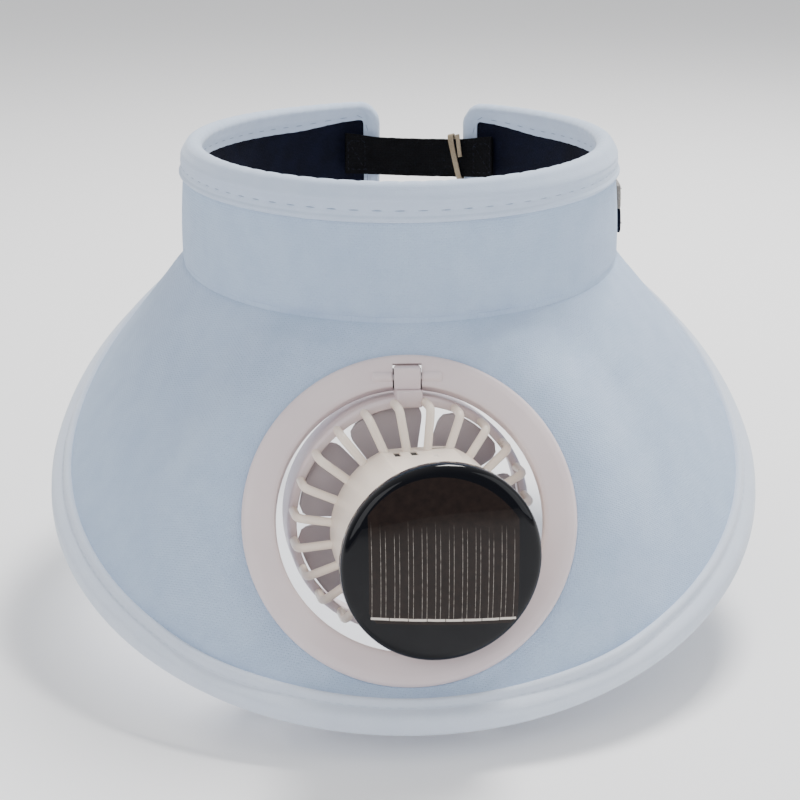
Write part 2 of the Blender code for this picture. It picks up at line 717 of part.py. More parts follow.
def make_guard():
    """Ring, ribs, hub cup and arm of the fan, one moulding."""
    back = RING_FRONT - RING_DEPTH
    chamfer = 0.0006
    ring_profile = [
        (RING_RADIUS - chamfer, RING_FRONT),
        (RING_RADIUS, RING_FRONT - chamfer),
        (RING_RADIUS, back),
        (RING_RADIUS - RING_WALL, back),
        (RING_RADIUS - RING_WALL, RING_FRONT),
    ]
    guard = turned("fan_guard", ring_profile, white_plastic, fan_frame)
    ribs = as_cutter(add_object("guard_ribs", rib_mesh(), white_plastic, fan_frame))
    boolean(guard, ribs, "UNION")
    inner = HUB_CAVITY_RADIUS
    shaft_hole = SHAFT_RADIUS + FIT
    hub_profile = [
        (0.0, HUB_FRONT),
        (HUB_RADIUS - 0.0008, HUB_FRONT),
        (HUB_RADIUS, HUB_FRONT - 0.0008),
        (HUB_RADIUS, HUB_BACK + 0.0010),
        (HUB_RADIUS - 0.0010, HUB_BACK),
        (shaft_hole, HUB_BACK),
        (shaft_hole, HUB_BACK + HUB_WALL),
        (inner, HUB_BACK + HUB_WALL),
        (inner, HUB_FRONT - HUB_WALL),
        (0.0, HUB_FRONT - HUB_WALL),
    ]
    hub = as_cutter(turned("guard_hub", hub_profile, white_plastic, fan_frame, closed=False))
    boolean(guard, hub, "UNION")
    arm_top = FAN_DROP - KNUCKLE_HEIGHT / 2 - FIT
    arm_low = RING_RADIUS - RING_WALL + 0.0006
    arm_size = (2 * KNUCKLE_HALF_WIDTH, arm_top - arm_low, RING_FRONT + 0.0020)
    arm_at = (0, (arm_top + arm_low) / 2, RING_FRONT - arm_size[2] / 2 + 0.0002)
    arm = as_cutter(box("guard_arm", arm_size, arm_at, white_plastic, fan_frame))
    boolean(guard, arm, "UNION")
    socket_top = arm_top + 0.002
    socket_low = arm_top - PIVOT_LENGTH + FIT
    socket_at = (0, (socket_top + socket_low) / 2, 0)
    socket_length = socket_top - socket_low
    socket = rod("arm_socket", PIVOT_RADIUS + FIT, socket_length, socket_at, (0, 1, 0), white_plastic, fan_frame, 12)
    boolean(guard, as_cutter(socket), "DIFFERENCE")
    facet_size = (0.04, 0.01, HUB_FRONT)
    facet_at = (0, HUB_FACET + facet_size[1] / 2, HUB_FACET_START + facet_size[2] / 2)
    facet = as_cutter(box("hub_facet", facet_size, facet_at, white_plastic, fan_frame))
    boolean(guard, facet, "DIFFERENCE")
    for index, across in enumerate(RECESS_PLACES):
        recess_at = (across, HUB_FACET, HUB_FACET_START + RECESS_FROM_EDGE)
        recess = box(f"hub_recess_{index + 1}", RECESS_SIZE, recess_at, white_plastic, fan_frame)
        boolean(guard, as_cutter(recess), "DIFFERENCE")
    shade_round(guard)


def make_panel():
    """Domed solar panel on the front of the hub."""
    base = HUB_FRONT + FIT
    rim = base + PANEL_RIM
    profile = [
        (0.0, rim + PANEL_DOME),
        (PANEL_RADIUS * 0.50, rim + PANEL_DOME * 0.88),
        (PANEL_RADIUS * 0.82, rim + PANEL_DOME * 0.58),
        (PANEL_RADIUS * 0.96, rim),
        (PANEL_RADIUS, rim - PANEL_RIM * 0.35),
        (PANEL_RADIUS, base + 0.0006),
        (PANEL_RADIUS - 0.0006, base),
        (0.0, base),
    ]
    panel = turned("solar_panel", profile, black_glass, fan_frame, closed=False)
    shade_round(panel)


def blade_mesh():
    """Seven broad pitched blades, each a curved sheet."""
    blades = bmesh.new()
    radial = 3
    around = 4
    for index in range(BLADE_COUNT):
        middle = 2 * math.pi * index / BLADE_COUNT
        rows = []
        for i in range(radial + 1):
            radius = ROTOR_RADIUS - 0.0015 + (BLADE_TIP - ROTOR_RADIUS + 0.0015) * i / radial
            row = []
            for j in range(around + 1):
                share = j / around - 0.5
                corner = 1.0 - (0.10 if i == radial else 0.0)
                angle = middle + BLADE_SPAN * share * corner
                height = radius * BLADE_SPAN * share * math.tan(BLADE_PITCH) * 0.75
                point = Vector((radius * math.cos(angle), radius * math.sin(angle), height))
                row.append(blades.verts.new(point))
            rows.append(row)
        for low, high in zip(rows, rows[1:]):
            for j in range(around):
                blades.faces.new((low[j], high[j], high[j + 1], low[j + 1]))
    mesh = bpy.data.meshes.new("rotor_blades")
    blades.to_mesh(mesh)
    blades.free()
    return mesh


def make_impeller():
    """Rotor behind the guard, with the shaft that runs in the hub."""
    shaft_top = HUB_BACK + HUB_WALL + 0.002
    profile = [
        (0.0, shaft_top),
        (SHAFT_RADIUS, shaft_top),
        (SHAFT_RADIUS, ROTOR_FRONT),
        (ROTOR_RADIUS - 0.0015, ROTOR_FRONT),
        (ROTOR_RADIUS, ROTOR_FRONT - 0.0015),
        (ROTOR_RADIUS, ROTOR_BACK),
        (0.0, ROTOR_BACK),
    ]
    impeller = turned("impeller", profile, mauve_plastic, spin_axis, steps=28, closed=False)
    blades = as_cutter(add_object("rotor_blades", blade_mesh(), mauve_plastic, spin_axis))
    solidify(blades, BLADE_WALL)
    boolean(impeller, blades, "UNION")
    shade_round(impeller)


clear_scene()
hat_parts = make_collection("solar_fan_hat")
cutters = make_collection("cutters")

pale_cloth = make_material("pale_cloth", (0.60, 0.70, 0.84), 0.85)
pale_tape = make_material("pale_tape", (0.72, 0.79, 0.88), 0.60)
navy_cloth = make_material("navy_cloth", (0.02, 0.02, 0.05), 0.85)
black_webbing = make_material("black_webbing", (0.01, 0.01, 0.015), 0.75)
tan_tape = make_material("tan_tape", (0.50, 0.42, 0.32), 0.90)
white_plastic = make_material("white_plastic", (0.85, 0.80, 0.76), 0.40)
mauve_plastic = make_material("mauve_plastic", (0.70, 0.66, 0.68), 0.45)
black_glass = make_material("black_glass", (0.01, 0.01, 0.012), 0.06)
steel = make_material("steel", (0.60, 0.60, 0.62), 0.30, 1.0)

hat_frame = make_empty("hat_frame")
bezel_centre = bezel_axes()[0]
bezel_frame = make_empty("bezel_frame", hat_frame, bezel_centre, (BEZEL_PITCH, 0, 0))
tilt_axis = make_empty("tilt_axis", bezel_frame, (0, PIN_UP, -PIN_DEPTH), (TILT_REST, 0, 0))
swivel_axis = make_empty("swivel_axis", tilt_axis, (0, 0, 0), (0, SWIVEL_REST, 0))
fan_frame = make_empty("fan_frame", swivel_axis, (0, -FAN_DROP, 0))
spin_axis = make_empty("spin_axis", fan_frame)

make_band()
make_brim()
make_strap()
make_side_tab()
make_bezel()
make_knuckle()
make_guard()
make_panel()
make_impeller()
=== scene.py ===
import math

import bmesh
import bpy
from mathutils import Matrix, Vector, noise


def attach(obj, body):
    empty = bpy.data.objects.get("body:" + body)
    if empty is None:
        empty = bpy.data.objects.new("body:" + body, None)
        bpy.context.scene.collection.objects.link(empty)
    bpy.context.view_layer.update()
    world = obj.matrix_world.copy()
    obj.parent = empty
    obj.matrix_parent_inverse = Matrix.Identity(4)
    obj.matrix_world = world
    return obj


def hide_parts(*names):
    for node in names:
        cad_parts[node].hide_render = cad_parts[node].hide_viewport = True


# Finished look of an open-crown sun hat with a solar fan hung in the front of its brim.
# Metres, +Z up, front of the hat towards -Y, origin in the middle of the band at its seam.

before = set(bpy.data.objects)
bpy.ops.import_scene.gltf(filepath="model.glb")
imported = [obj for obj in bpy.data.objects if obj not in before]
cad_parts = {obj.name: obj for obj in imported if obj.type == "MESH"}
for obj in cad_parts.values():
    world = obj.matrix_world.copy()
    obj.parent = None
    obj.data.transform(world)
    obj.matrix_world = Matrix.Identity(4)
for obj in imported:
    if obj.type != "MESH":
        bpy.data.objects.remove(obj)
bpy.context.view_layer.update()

# Sizes of the hat, the same as in the solids

BAND_HALF_WIDTH = 0.0800
BAND_HALF_LENGTH = 0.0985
BAND_TAPER = 0.0018
BAND_HEIGHT = 0.0406
BAND_REAR_DROP = 0.0030
BAND_WALL = 0.0022
BAND_END_RADIUS = 0.0070
GAP_LEFT_X = -0.0090
GAP_RIGHT_X = 0.0330
LINING_WALL = 0.0012
SEAM_HEIGHT = 0.0002
FIT = 0.0003

TAPE_WALL = 0.0010
TAPE_OUTER_LEG = 0.0095
TAPE_INNER_LEG = 0.0080
TAPE_END_LEG = 0.0050

BRIM_WALL = 0.0024
BRIM_START_DROP = 0.0012
BRIM_END_ANGLE = math.radians(146)
RIM_HALF_WIDTH = 0.1193
RIM_FRONT_REACH = 0.1203
RIM_REAR_REACH = 0.1490
RIM_CENTRE_Y = -0.0747
RIM_TURN_ANGLE = math.radians(140)
RIM_TILT = math.radians(20.8)
RIM_DROP = 0.0341
RIM_CLOSE_START = math.radians(102)
BRIM_TOP_MARGIN = 0.085
BRIM_LOW_MARGIN = 0.095
RIM_TAPE_WALL = 0.0012
RIM_TAPE_DEPTH = 0.0072

STRAP_HEIGHT = 0.0160
STRAP_BOTTOM = 0.0105
STRAP_WALL = 0.0012
STRAP_OVERLAP = 0.0150
STRAP_DIP = 0.0020
KEEPER_WIDTH = 0.0034
KEEPER_WALL = 0.0009
KEEPER_X = 0.0250
KEEPER_SLANT = math.radians(14)

TAB_START_ANGLE = math.radians(84)
TAB_LENGTH = 0.0280
TAB_BOTTOM = 0.0058
TAB_SPLIT = 0.0152
TAB_TOP = 0.0240
TAB_WALL = 0.0017

BEZEL_RADIUS = 0.05065
BEZEL_BORE = 0.0405
BEZEL_FLANGE = 0.0020
BEZEL_BACK_RADIUS = 0.0462
BEZEL_BACK_FLANGE = 0.0012
BEZEL_TUBE_WALL = 0.0015
BEZEL_TOP_SHARE = 0.7512
BEZEL_PITCH = math.radians(56.4)
BEZEL_EASE = 0.0600
SLOT_HALF_WIDTH = 0.0045
SLOT_TOP = 0.0474
PIN_UP = 0.0432
PIN_DEPTH = 0.0010
PIN_RADIUS = 0.0009
PIN_HALF_LENGTH = 0.0100
BOSS_RADIUS = 0.0019
BOSS_LENGTH = 0.0063

TILT_REST = math.radians(27.6)
SWIVEL_REST = math.radians(10.6)
KNUCKLE_HALF_WIDTH = 0.0039
KNUCKLE_HEIGHT = 0.0062
KNUCKLE_DEPTH = 0.0052
FAN_DROP = 0.0440
RING_RADIUS = 0.0387
RING_WALL = 0.0030
RING_FRONT = 0.0035
RING_DEPTH = 0.0125
RIB_COUNT = 24
RIB_RADIUS = 0.00135
RIB_RISE = 0.0083
RIB_BEND = 0.0022
HUB_RADIUS = 0.0270
HUB_BACK = 0.0110
HUB_FRONT = 0.0432
HUB_FACET = 0.0246
PANEL_RADIUS = 0.0295
PANEL_RIM = 0.0048
PANEL_DOME = 0.0032
BLADE_COUNT = 7
BLADE_TIP = 0.0352
BLADE_WALL = 0.0011
BLADE_SPAN = math.radians(44)
BLADE_PITCH = math.radians(17)
ROTOR_RADIUS = 0.0115
ROTOR_FRONT = 0.0068
ROTOR_BACK = -0.0062
SHAFT_RADIUS = 0.0012

STITCH_PITCH = 0.0071          # tacks that hold the tape over the band
TAPE_GAP = 0.00045             # middle of the tape off the band's face
TAPE_TUCK = 0.0042             # how far the band's cloth ends below the roll's top
TAPE_LEAN = 0.0017             # how far the roll leans inwards
SEAM_CREASE = 0.00055          # depth of the crease where band and brim are sewn together
RIM_STITCH_PITCH = 0.0036
CELL_TURN = math.radians(5.0)  # the cell is set level, and the fan's head is turned
LOOP_SHIFT = 0.0042            # the loop is pushed along the strap to the band's end
SEAM_TUCK = 0.0008             # how far the brim's cloth is sewn up into the band
TAPE_SWELL = 0.00077           # how far the tape's inner leg stands out where the strap crosses it
TACK_PITCH = 0.0026            # stitches of the strap's ends and of the side tab
RIM_TAPE_ACROSS = BRIM_WALL / 2 + 0.00005 + RIM_TAPE_WALL * 0.375
ROUND_STEPS = 144

# The cell under the panel's resin, from the disc's middle
CELL_HALF_WIDTH = 0.0219
CELL_ROUND = 0.0262
CELL_LOW = -0.0172
BUSBAR_DOWN = 0.0156
BUSBAR_HALF_WIDTH = 0.00038
BUSBAR_SEGMENT = 0.0027
CELL_LINE_PAIR = 0.00195
CELL_LINE_PLACE = 0.00125
CELL_LINE_SHIFT = 0.00035
CELL_LINE_HALF_WIDTH = 0.00006

MARK_DEPTH = 0.0014

# Marks cut into the hub's flat top, each with a dark plate of painted shade at its floor: name, across,
# forward from the hub's back, width and length
HUB_MARKS = (
    ("hub_port_one", -0.0070, 0.0066, 0.0019, 0.0044),
    ("hub_port_two", -0.0018, 0.0064, 0.0021, 0.0042),
    ("hub_slit", 0.0072, 0.0024, 0.0080, 0.0014),
)


# Small helpers

def ease(value):
    value = min(max(value, 0.0), 1.0)
    return value * value * (3.0 - 2.0 * value)


def soft_noise(point, size):
    """Smooth noise about 0, with patches of about the given size."""
    return noise.noise(Vector(point) / size)


def link(name, mesh, material):
    obj = bpy.data.objects.new(name, mesh)
    bpy.context.scene.collection.objects.link(obj)
    mesh.materials.clear()
    mesh.materials.append(material)
    return obj


def settle(obj):
    """Turn the modifiers' result into the object's own plain mesh."""
    graph = bpy.context.evaluated_depsgraph_get()
    evaluated = obj.evaluated_get(graph)
    mesh = bpy.data.meshes.new_from_object(evaluated, preserve_all_data_layers=True, depsgraph=graph)
    obj.modifiers.clear()
    obj.data = mesh
    return obj


def smooth(obj, degrees=40.0):
    obj.data.shade_smooth()
    obj.data.set_sharp_from_angle(angle=math.radians(degrees))
    return obj


def thicken(obj, wall, even=True):
    modifier = obj.modifiers.new("wall", "SOLIDIFY")
    modifier.thickness = wall
    modifier.offset = 0.0
    modifier.use_even_offset = even
    return settle(obj)


def soften(obj, width, segments=3, degrees=30.0):
    modifier = obj.modifiers.new("edges", "BEVEL")
    modifier.width = width
    modifier.segments = segments
    modifier.limit_method = "ANGLE"
    modifier.angle_limit = math.radians(degrees)
    return settle(obj)


def cut(obj, other, operation="DIFFERENCE"):
    modifier = obj.modifiers.new("cut", "BOOLEAN")
    modifier.operation = operation
    modifier.solver = "EXACT"
    modifier.object = other
    settle(obj)
    bpy.data.objects.remove(other, do_unlink=True)
    return obj


def register(obj, body, node=None):
    """Put a piece on the body it rides on, and hide the solid that it stands for."""
    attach(obj, body)
    if node:
        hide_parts(node)


def mesh_from(name, body):
    mesh = bpy.data.meshes.new(name)
    body.to_mesh(mesh)
    body.free()
    return mesh


def sheet_mesh(name, rows, flat=None, keep=None):
    """A sheet through rows of points, with a UV map in metres along and across the cloth."""
    sheet = bmesh.new()
    layer = sheet.loops.layers.uv.new("cloth")
    vertices = [[sheet.verts.new(point) for point in row] for row in rows]
    place = {}
    across = 0.0
    for r, row in enumerate(rows):
        if r:
            across += (Vector(row[0]) - Vector(rows[r - 1][0])).length
        along = 0.0
        for c, point in enumerate(row):
            if c:
                along += (Vector(point) - Vector(row[c - 1])).length
            place[vertices[r][c]] = flat[r][c] if flat else (along, across)
    for low, high in zip(vertices, vertices[1:]):
        for i in range(len(low) - 1):
            corners = (low[i], low[i + 1], high[i + 1], high[i])
            if keep and not all(keep(vertex.co) for vertex in corners):
                continue
            face = sheet.faces.new(corners)
            for loop in face.loops:
                loop[layer].uv = place[loop.vert]
    loose = [vertex for vertex in sheet.verts if not vertex.link_faces]
    bmesh.ops.delete(sheet, geom=loose, context="VERTS")
    bmesh.ops.recalc_face_normals(sheet, faces=sheet.faces)
    area = sum(face.calc_area() for face in sheet.faces)
    return mesh_from(name, sheet), area


def grid(rows_count, columns, place):
    """Rows of a sheet's points: place gets the share along a row and the share up the sheet."""
    return [[place(i / columns, j / rows_count) for i in range(columns + 1)] for j in range(rows_count + 1)]


def curved(points, steps):
    """Points of a smooth curve through the given ones, any number of values each."""
    result = []
    count = len(points)
    for i in range(count - 1):
        around = [points[max(i - 1, 0)], points[i], points[i + 1], points[min(i + 2, count - 1)]]
        for step in range(steps):
            t = step / steps
            weights = (
                -0.5 * t + t * t - 0.5 * t ** 3,
                1.0 - 2.5 * t * t + 1.5 * t ** 3,
                0.5 * t + 2.0 * t * t - 1.5 * t ** 3,
                -0.5 * t * t + 0.5 * t ** 3,
            )
            result.append(tuple(sum(w * v for w, v in zip(weights, values)) for values in zip(*around)))
    result.append(tuple(points[-1]))
    return result


def filleted(profile, radius, steps=3):
    """A closed outline with each corner rounded."""
    result = []
    count = len(profile)
    for i in range(count):
        before = Vector(profile[i - 1])
        corner = Vector(profile[i])
        after = Vector(profile[(i + 1) % count])
        back = before - corner
        forth = after - corner
        reach = min(radius, back.length * 0.45, forth.length * 0.45)
        start = corner + back.normalized() * reach
        end = corner + forth.normalized() * reach
        for step in range(steps + 1):
            t = step / steps
            point = start * (1 - t) ** 2 + corner * 2 * t * (1 - t) + end * t * t
            result.append((point.x, point.y))
    return result


def lathe(name, profile, steps=ROUND_STEPS, closed=True):
    """A solid of revolution about Z. An open outline starts and ends on the axis."""
    body = bmesh.new()
    rings = []
    for radius, height in profile:
        if radius < 1e-7:
            rings.append([body.verts.new((0, 0, height))])
            continue
        ring = []
        for step in range(steps):
            turn = 2 * math.pi * step / steps
            ring.append(body.verts.new((radius * math.cos(turn), radius * math.sin(turn), height)))
        rings.append(ring)
    pairs = list(zip(rings, rings[1:]))
    if closed:
        pairs.append((rings[-1], rings[0]))
    for first, second in pairs:
        for i in range(steps):
            j = (i + 1) % steps
            if len(first) == 1 and len(second) == 1:
                break
            if len(first) == 1:
                body.faces.new((first[0], second[i], second[j]))
            elif len(second) == 1:
                body.faces.new((first[i], second[0], first[j]))
            else:
                body.faces.new((first[i], second[i], second[j], first[j]))
    bmesh.ops.recalc_face_normals(body, faces=body.faces)
    return mesh_from(name, body)


def block(name, size, centre):
    body = bmesh.new()
    bmesh.ops.create_cube(body, size=1.0)
    bmesh.ops.scale(body, vec=size, verts=body.verts)
    bmesh.ops.translate(body, vec=centre, verts=body.verts)
    return mesh_from(name, body)


def turned_to_x(mesh, centre):
    """Lay a turned mesh along X, about a point."""
    mesh.transform(Matrix.Translation(centre) @ Matrix.Rotation(math.radians(90), 4, "Y"))
    return mesh


# The band's and the brim's surfaces: angle 0 is the front, positive angles go to +X

def band_height(angle):
    rear = ease((abs(angle) - math.radians(60)) / math.radians(110))
    return BAND_HEIGHT - BAND_REAR_DROP * rear


def band_normal(angle):
    normal = Vector((math.sin(angle) / BAND_HALF_WIDTH, -math.cos(angle) / BAND_HALF_LENGTH, 0.0))
    return normal.normalized()


def band_point(angle, height, outward=0.0):
    narrowing = BAND_TAPER * height / BAND_HEIGHT
    half_width = BAND_HALF_WIDTH - narrowing
    half_length = BAND_HALF_LENGTH - narrowing * 0.5
    on_face = Vector((half_width * math.sin(angle), -half_length * math.cos(angle), height))
    return on_face + band_normal(angle) * (outward - BAND_WALL / 2)


def angle_at_x(x):
    return math.pi - math.asin(x / BAND_HALF_WIDTH)


LEFT_END = -angle_at_x(-GAP_LEFT_X)
RIGHT_END = angle_at_x(GAP_RIGHT_X)


def arc_step(angle, distance):
    speed = math.hypot(BAND_HALF_WIDTH * math.cos(angle), BAND_HALF_LENGTH * math.sin(angle))
    return angle + distance / speed


def end_columns(end, inwards, steps):
    columns = []
    for step in range(steps + 1):
        turn = math.radians(90) * step / steps
        angle = arc_step(end, BAND_END_RADIUS * (1.0 - math.cos(turn)) * inwards)
        drop = BAND_END_RADIUS * (1.0 - math.sin(turn))
        columns.append((angle, band_height(angle) - drop, turn))
    return columns


def band_columns(count, corner_steps=8):
    """Angle, top edge and turn of the edge for each column of the band's cloth."""
    left = end_columns(LEFT_END, 1.0, corner_steps)
    right = end_columns(RIGHT_END, -1.0, corner_steps)
    first = left[-1][0]
    last = right[-1][0]
    middle = []
    for step in range(1, count):
        angle = first + (last - first) * step / count
        middle.append((angle, band_height(angle), math.radians(90)))
    return left, middle, right[::-1]


def rim_plane_down():
    return Vector((0.0, math.sin(RIM_TILT), -math.cos(RIM_TILT)))


def on_rim_plane(x, y):
    along = Vector((0.0, math.cos(RIM_TILT), math.sin(RIM_TILT)))
    return Vector((x, 0.0, 0.0)) + along * y + rim_plane_down() * RIM_DROP


def brim_seam(angle):
    return band_point(angle, -BRIM_START_DROP)


def brim_rim(angle):
    share = angle / RIM_TURN_ANGLE
    turn = angle * (1.31 - 0.17 * share * share)
    reach = RIM_FRONT_REACH if abs(turn) < math.pi / 2 else RIM_REAR_REACH
    lying = on_rim_plane(RIM_HALF_WIDTH * math.sin(turn), RIM_CENTRE_Y - reach * math.cos(turn))
    down = (Vector((0, 0, -1)) + band_normal(angle) * 0.45).normalized()
    seam = brim_seam(angle)
    width = (RIM_DROP - seam.dot(rim_plane_down())) / down.dot(rim_plane_down())
    close = ease((abs(angle) - RIM_CLOSE_START) / (BRIM_END_ANGLE - RIM_CLOSE_START))
    return lying.lerp(seam + down * width, close)


def bezel_axes():
    start = band_point(0.0, 0.0, BAND_WALL / 2)
    direction = (brim_rim(0.0) - brim_seam(0.0)).normalized()
    spare = (brim_rim(0.0) - start).dot(direction) - RIM_TAPE_DEPTH - 2 * BEZEL_RADIUS
    centre = start + direction * (BEZEL_RADIUS + spare * BEZEL_TOP_SHARE)
    up = Vector((0, math.cos(BEZEL_PITCH), math.sin(BEZEL_PITCH)))
    normal = Vector((0, -math.sin(BEZEL_PITCH), math.cos(BEZEL_PITCH)))
    return centre, up, normal


def flattened(point, share):
    """Pull the brim's cloth into the bezel's plane where the bezel grips it."""
    centre, _, normal = bezel_axes()
    offset = point - centre
    depth = offset.dot(normal)
    distance = (offset - normal * depth).length
    cloth_plane = -BEZEL_FLANGE - FIT - BRIM_WALL / 2
    hold = 1.0 - ease((distance - BEZEL_RADIUS - 0.003) / (BEZEL_EASE - 0.030))
    edges = min(share / BRIM_TOP_MARGIN, (1.0 - share) / BRIM_LOW_MARGIN, 1.0)
    return point + normal * (cloth_plane - depth) * hold * edges


def brim_point(angle, share):
    return flattened(brim_seam(angle).lerp(brim_rim(angle), share), share)


def turn_x(angle):
    return Matrix.Rotation(angle, 4, "X")


BEZEL_PLACE = Matrix.Translation(bezel_axes()[0]) @ turn_x(BEZEL_PITCH)
TILT_PLACE = BEZEL_PLACE @ Matrix.Translation((0, PIN_UP, -PIN_DEPTH)) @ turn_x(TILT_REST)
SWIVEL_PLACE = TILT_PLACE @ Matrix.Rotation(SWIVEL_REST, 4, "Y")
FAN_PLACE = SWIVEL_PLACE @ Matrix.Translation((0, -FAN_DROP, 0))


# Shader groups, each used by several materials

SKIN_OUTPUTS = [
    ("Colour", "NodeSocketColor"), ("Height", "NodeSocketFloat"), ("Roughness", "NodeSocketFloat"),
]


def new_group(name, inputs, outputs):
    group = bpy.data.node_groups.new(name, "ShaderNodeTree")
    for label, kind, default in inputs:
        socket = group.interface.new_socket(label, in_out="INPUT", socket_type=kind)
        socket.default_value = default
    for label, kind in outputs:
        group.interface.new_socket(label, in_out="OUTPUT", socket_type=kind)
    return group, group.nodes.new("NodeGroupInput"), group.nodes.new("NodeGroupOutput")


def add_node(tree, kind, inputs=None, **settings):
    """A new node; each input takes another node's socket or a plain value."""
    node = tree.nodes.new(kind)
    for label, value in settings.items():
        setattr(node, label, value)
    for label, value in (inputs or {}).items():
        if isinstance(value, bpy.types.NodeSocket):
            tree.links.new(value, node.inputs[label])
        else:
            node.inputs[label].default_value = value
    return node


def maths(tree, operation, first, second=None, clamp=False):
    inputs = {0: first} if second is None else {0: first, 1: second}
    return add_node(tree, "ShaderNodeMath", inputs, operation=operation, use_clamp=clamp).outputs[0]


def mixed(tree, factor, first, second):
    inputs = {0: factor, 6: first, 7: second}
    return add_node(tree, "ShaderNodeMix", inputs, data_type="RGBA").outputs[2]


def noise_field(tree, vector, scale, detail=2.0, roughness=0.5):
    inputs = {"Vector": vector, "Scale": scale, "Detail": detail, "Roughness": roughness}
    return add_node(tree, "ShaderNodeTexNoise", inputs).outputs["Fac"]


def ranged(tree, value, low, high, out_low=0.0, out_high=1.0):
    inputs = {"Value": value, "From Min": low, "From Max": high, "To Min": out_low, "To Max": out_high}
    return add_node(tree, "ShaderNodeMapRange", inputs).outputs["Result"]


def give_out(group, out, colour, height, roughness):
    for label, socket in (("Colour", colour), ("Height", height), ("Roughness", roughness)):
        group.links.new(socket, out.inputs[label])
    return group


def weave_group():
    """Plain weave with fuzz: threads over and under each other, on a UV map in metres."""
    group, given, out = new_group("plain_weave", [
        ("Vector", "NodeSocketVector", (0.0, 0.0, 0.0)),
        ("Colour", "NodeSocketColor", (0.5, 0.5, 0.5, 1.0)),
        ("Shade", "NodeSocketColor", (0.4, 0.4, 0.4, 1.0)),
        ("Pitch", "NodeSocketFloat", 0.0008),
        ("Fuzz", "NodeSocketFloat", 0.5),
        ("Mottle And Gap Shade", "NodeSocketFloat", 0.3),
    ], SKIN_OUTPUTS)
    vector, colour, shade, pitch, fuzz, mottle_and_gap_shade = given.outputs[:6]
    axes = add_node(group, "ShaderNodeSeparateXYZ", {0: vector}).outputs
    waves = [maths(group, "SINE", maths(group, "MULTIPLY", maths(group, "DIVIDE", axis, pitch), math.pi))
             for axis in axes[:2]]
    crossing = maths(group, "MULTIPLY", *waves)
    over = maths(group, "MULTIPLY", maths(group, "ABSOLUTE", crossing), 0.7)
    threads = maths(group, "ADD", over, maths(group, "MULTIPLY", crossing, 0.3))
    fibres = noise_field(group, vector, 1400.0, 3.0, 0.65)
    patches = noise_field(group, vector, 95.0, 3.0, 0.55)
    wide = noise_field(group, vector, 14.0)
    nap = maths(group, "MULTIPLY", noise_field(group, vector, 560.0, 4.0, 0.6), fuzz)
    fluff = maths(group, "ADD", maths(group, "MULTIPLY", fibres, fuzz), nap)
    height = maths(group, "ADD", maths(group, "MULTIPLY", threads, 0.5), fluff)
    tone = maths(group, "ADD", ranged(group, patches, 0.35, 0.65), ranged(group, wide, 0.3, 0.7, -0.3, 0.3))
    flecks = maths(group, "MULTIPLY", ranged(group, fibres, 0.3, 0.7, -0.5, 0.5), 0.6)
    amount = maths(group, "MULTIPLY", maths(group, "ADD", tone, flecks), mottle_and_gap_shade, clamp=True)
    # Painted shade: the colour darkens in the gaps between threads, as strongly as the mottle
    thread_gap_shade = maths(group, "MULTIPLY", ranged(group, threads, 0.0, 0.35, 0.35, 0.0), mottle_and_gap_shade)
    darker = maths(group, "ADD", amount, thread_gap_shade, clamp=True)
    return give_out(group, out, mixed(group, darker, colour, shade), height,
                    ranged(group, fibres, 0.3, 0.7, 0.72, 0.92))


def moulded_group():
    """Moulded plastic: faint flow marks, fine grain, and dust that settles in patches."""
    group, given, out = new_group("moulded", [
        ("Vector", "NodeSocketVector", (0.0, 0.0, 0.0)),
        ("Colour", "NodeSocketColor", (0.8, 0.8, 0.8, 1.0)),
        ("Tint", "NodeSocketColor", (0.7, 0.7, 0.7, 1.0)),
        ("Grain", "NodeSocketFloat", 1.0),
        ("Gloss", "NodeSocketFloat", 0.4),
    ], SKIN_OUTPUTS)
    vector, colour, tint, grain, gloss = given.outputs[:5]
    flow = noise_field(group, vector, 40.0, 3.0, 0.5)
    specks = noise_field(group, vector, 2600.0, 2.0, 0.6)
    marks = noise_field(group, vector, 320.0, 4.0, 0.7)
    dust = ranged(group, marks, 0.35, 0.75, -0.05, 0.10)
    spread = maths(group, "ADD", dust, ranged(group, flow, 0.3, 0.7, -0.04, 0.04))
    return give_out(group, out, mixed(group, ranged(group, flow, 0.35, 0.7), colour, tint),
                    maths(group, "MULTIPLY", specks, grain), maths(group, "ADD", spread, gloss))


def start_material(name):
    material = bpy.data.materials.new(name)
    material.use_nodes = True
    return material, material.node_tree, material.node_tree.nodes["Principled BSDF"]


def bump_into(tree, shader, height, strength, distance):
    bump = add_node(tree, "ShaderNodeBump", {"Strength": strength, "Distance": distance, "Height": height})
    tree.links.new(bump.outputs["Normal"], shader.inputs["Normal"])


def set_plain(shader, **values):
    for label, value in values.items():
        shader.inputs[label.replace("_", " ")].default_value = value


def dress(tree, shader, group, inputs, strength, distance):
    """Put a shared group's colour, roughness and relief on a material."""
    skin = add_node(tree, "ShaderNodeGroup", inputs, node_tree=group)
    tree.links.new(skin.outputs["Colour"], shader.inputs["Base Color"])
    tree.links.new(skin.outputs["Roughness"], shader.inputs["Roughness"])
    bump_into(tree, shader, skin.outputs["Height"], strength, distance)


def cloth_material(name, colour, shade, pitch, fuzz, mottle_and_gap_shade, sheen, bump):
    material, tree, shader = start_material(name)
    place = add_node(tree, "ShaderNodeUVMap", uv_map="cloth")
    dress(tree, shader, plain_weave, {
        "Vector": place.outputs["UV"], "Colour": (*colour, 1.0), "Shade": (*shade, 1.0),
        "Pitch": pitch, "Fuzz": fuzz, "Mottle And Gap Shade": mottle_and_gap_shade,
    }, bump, 0.0005)
    set_plain(shader, Specular_IOR_Level=0.12, Sheen_Weight=sheen, Sheen_Roughness=0.45)
    return material


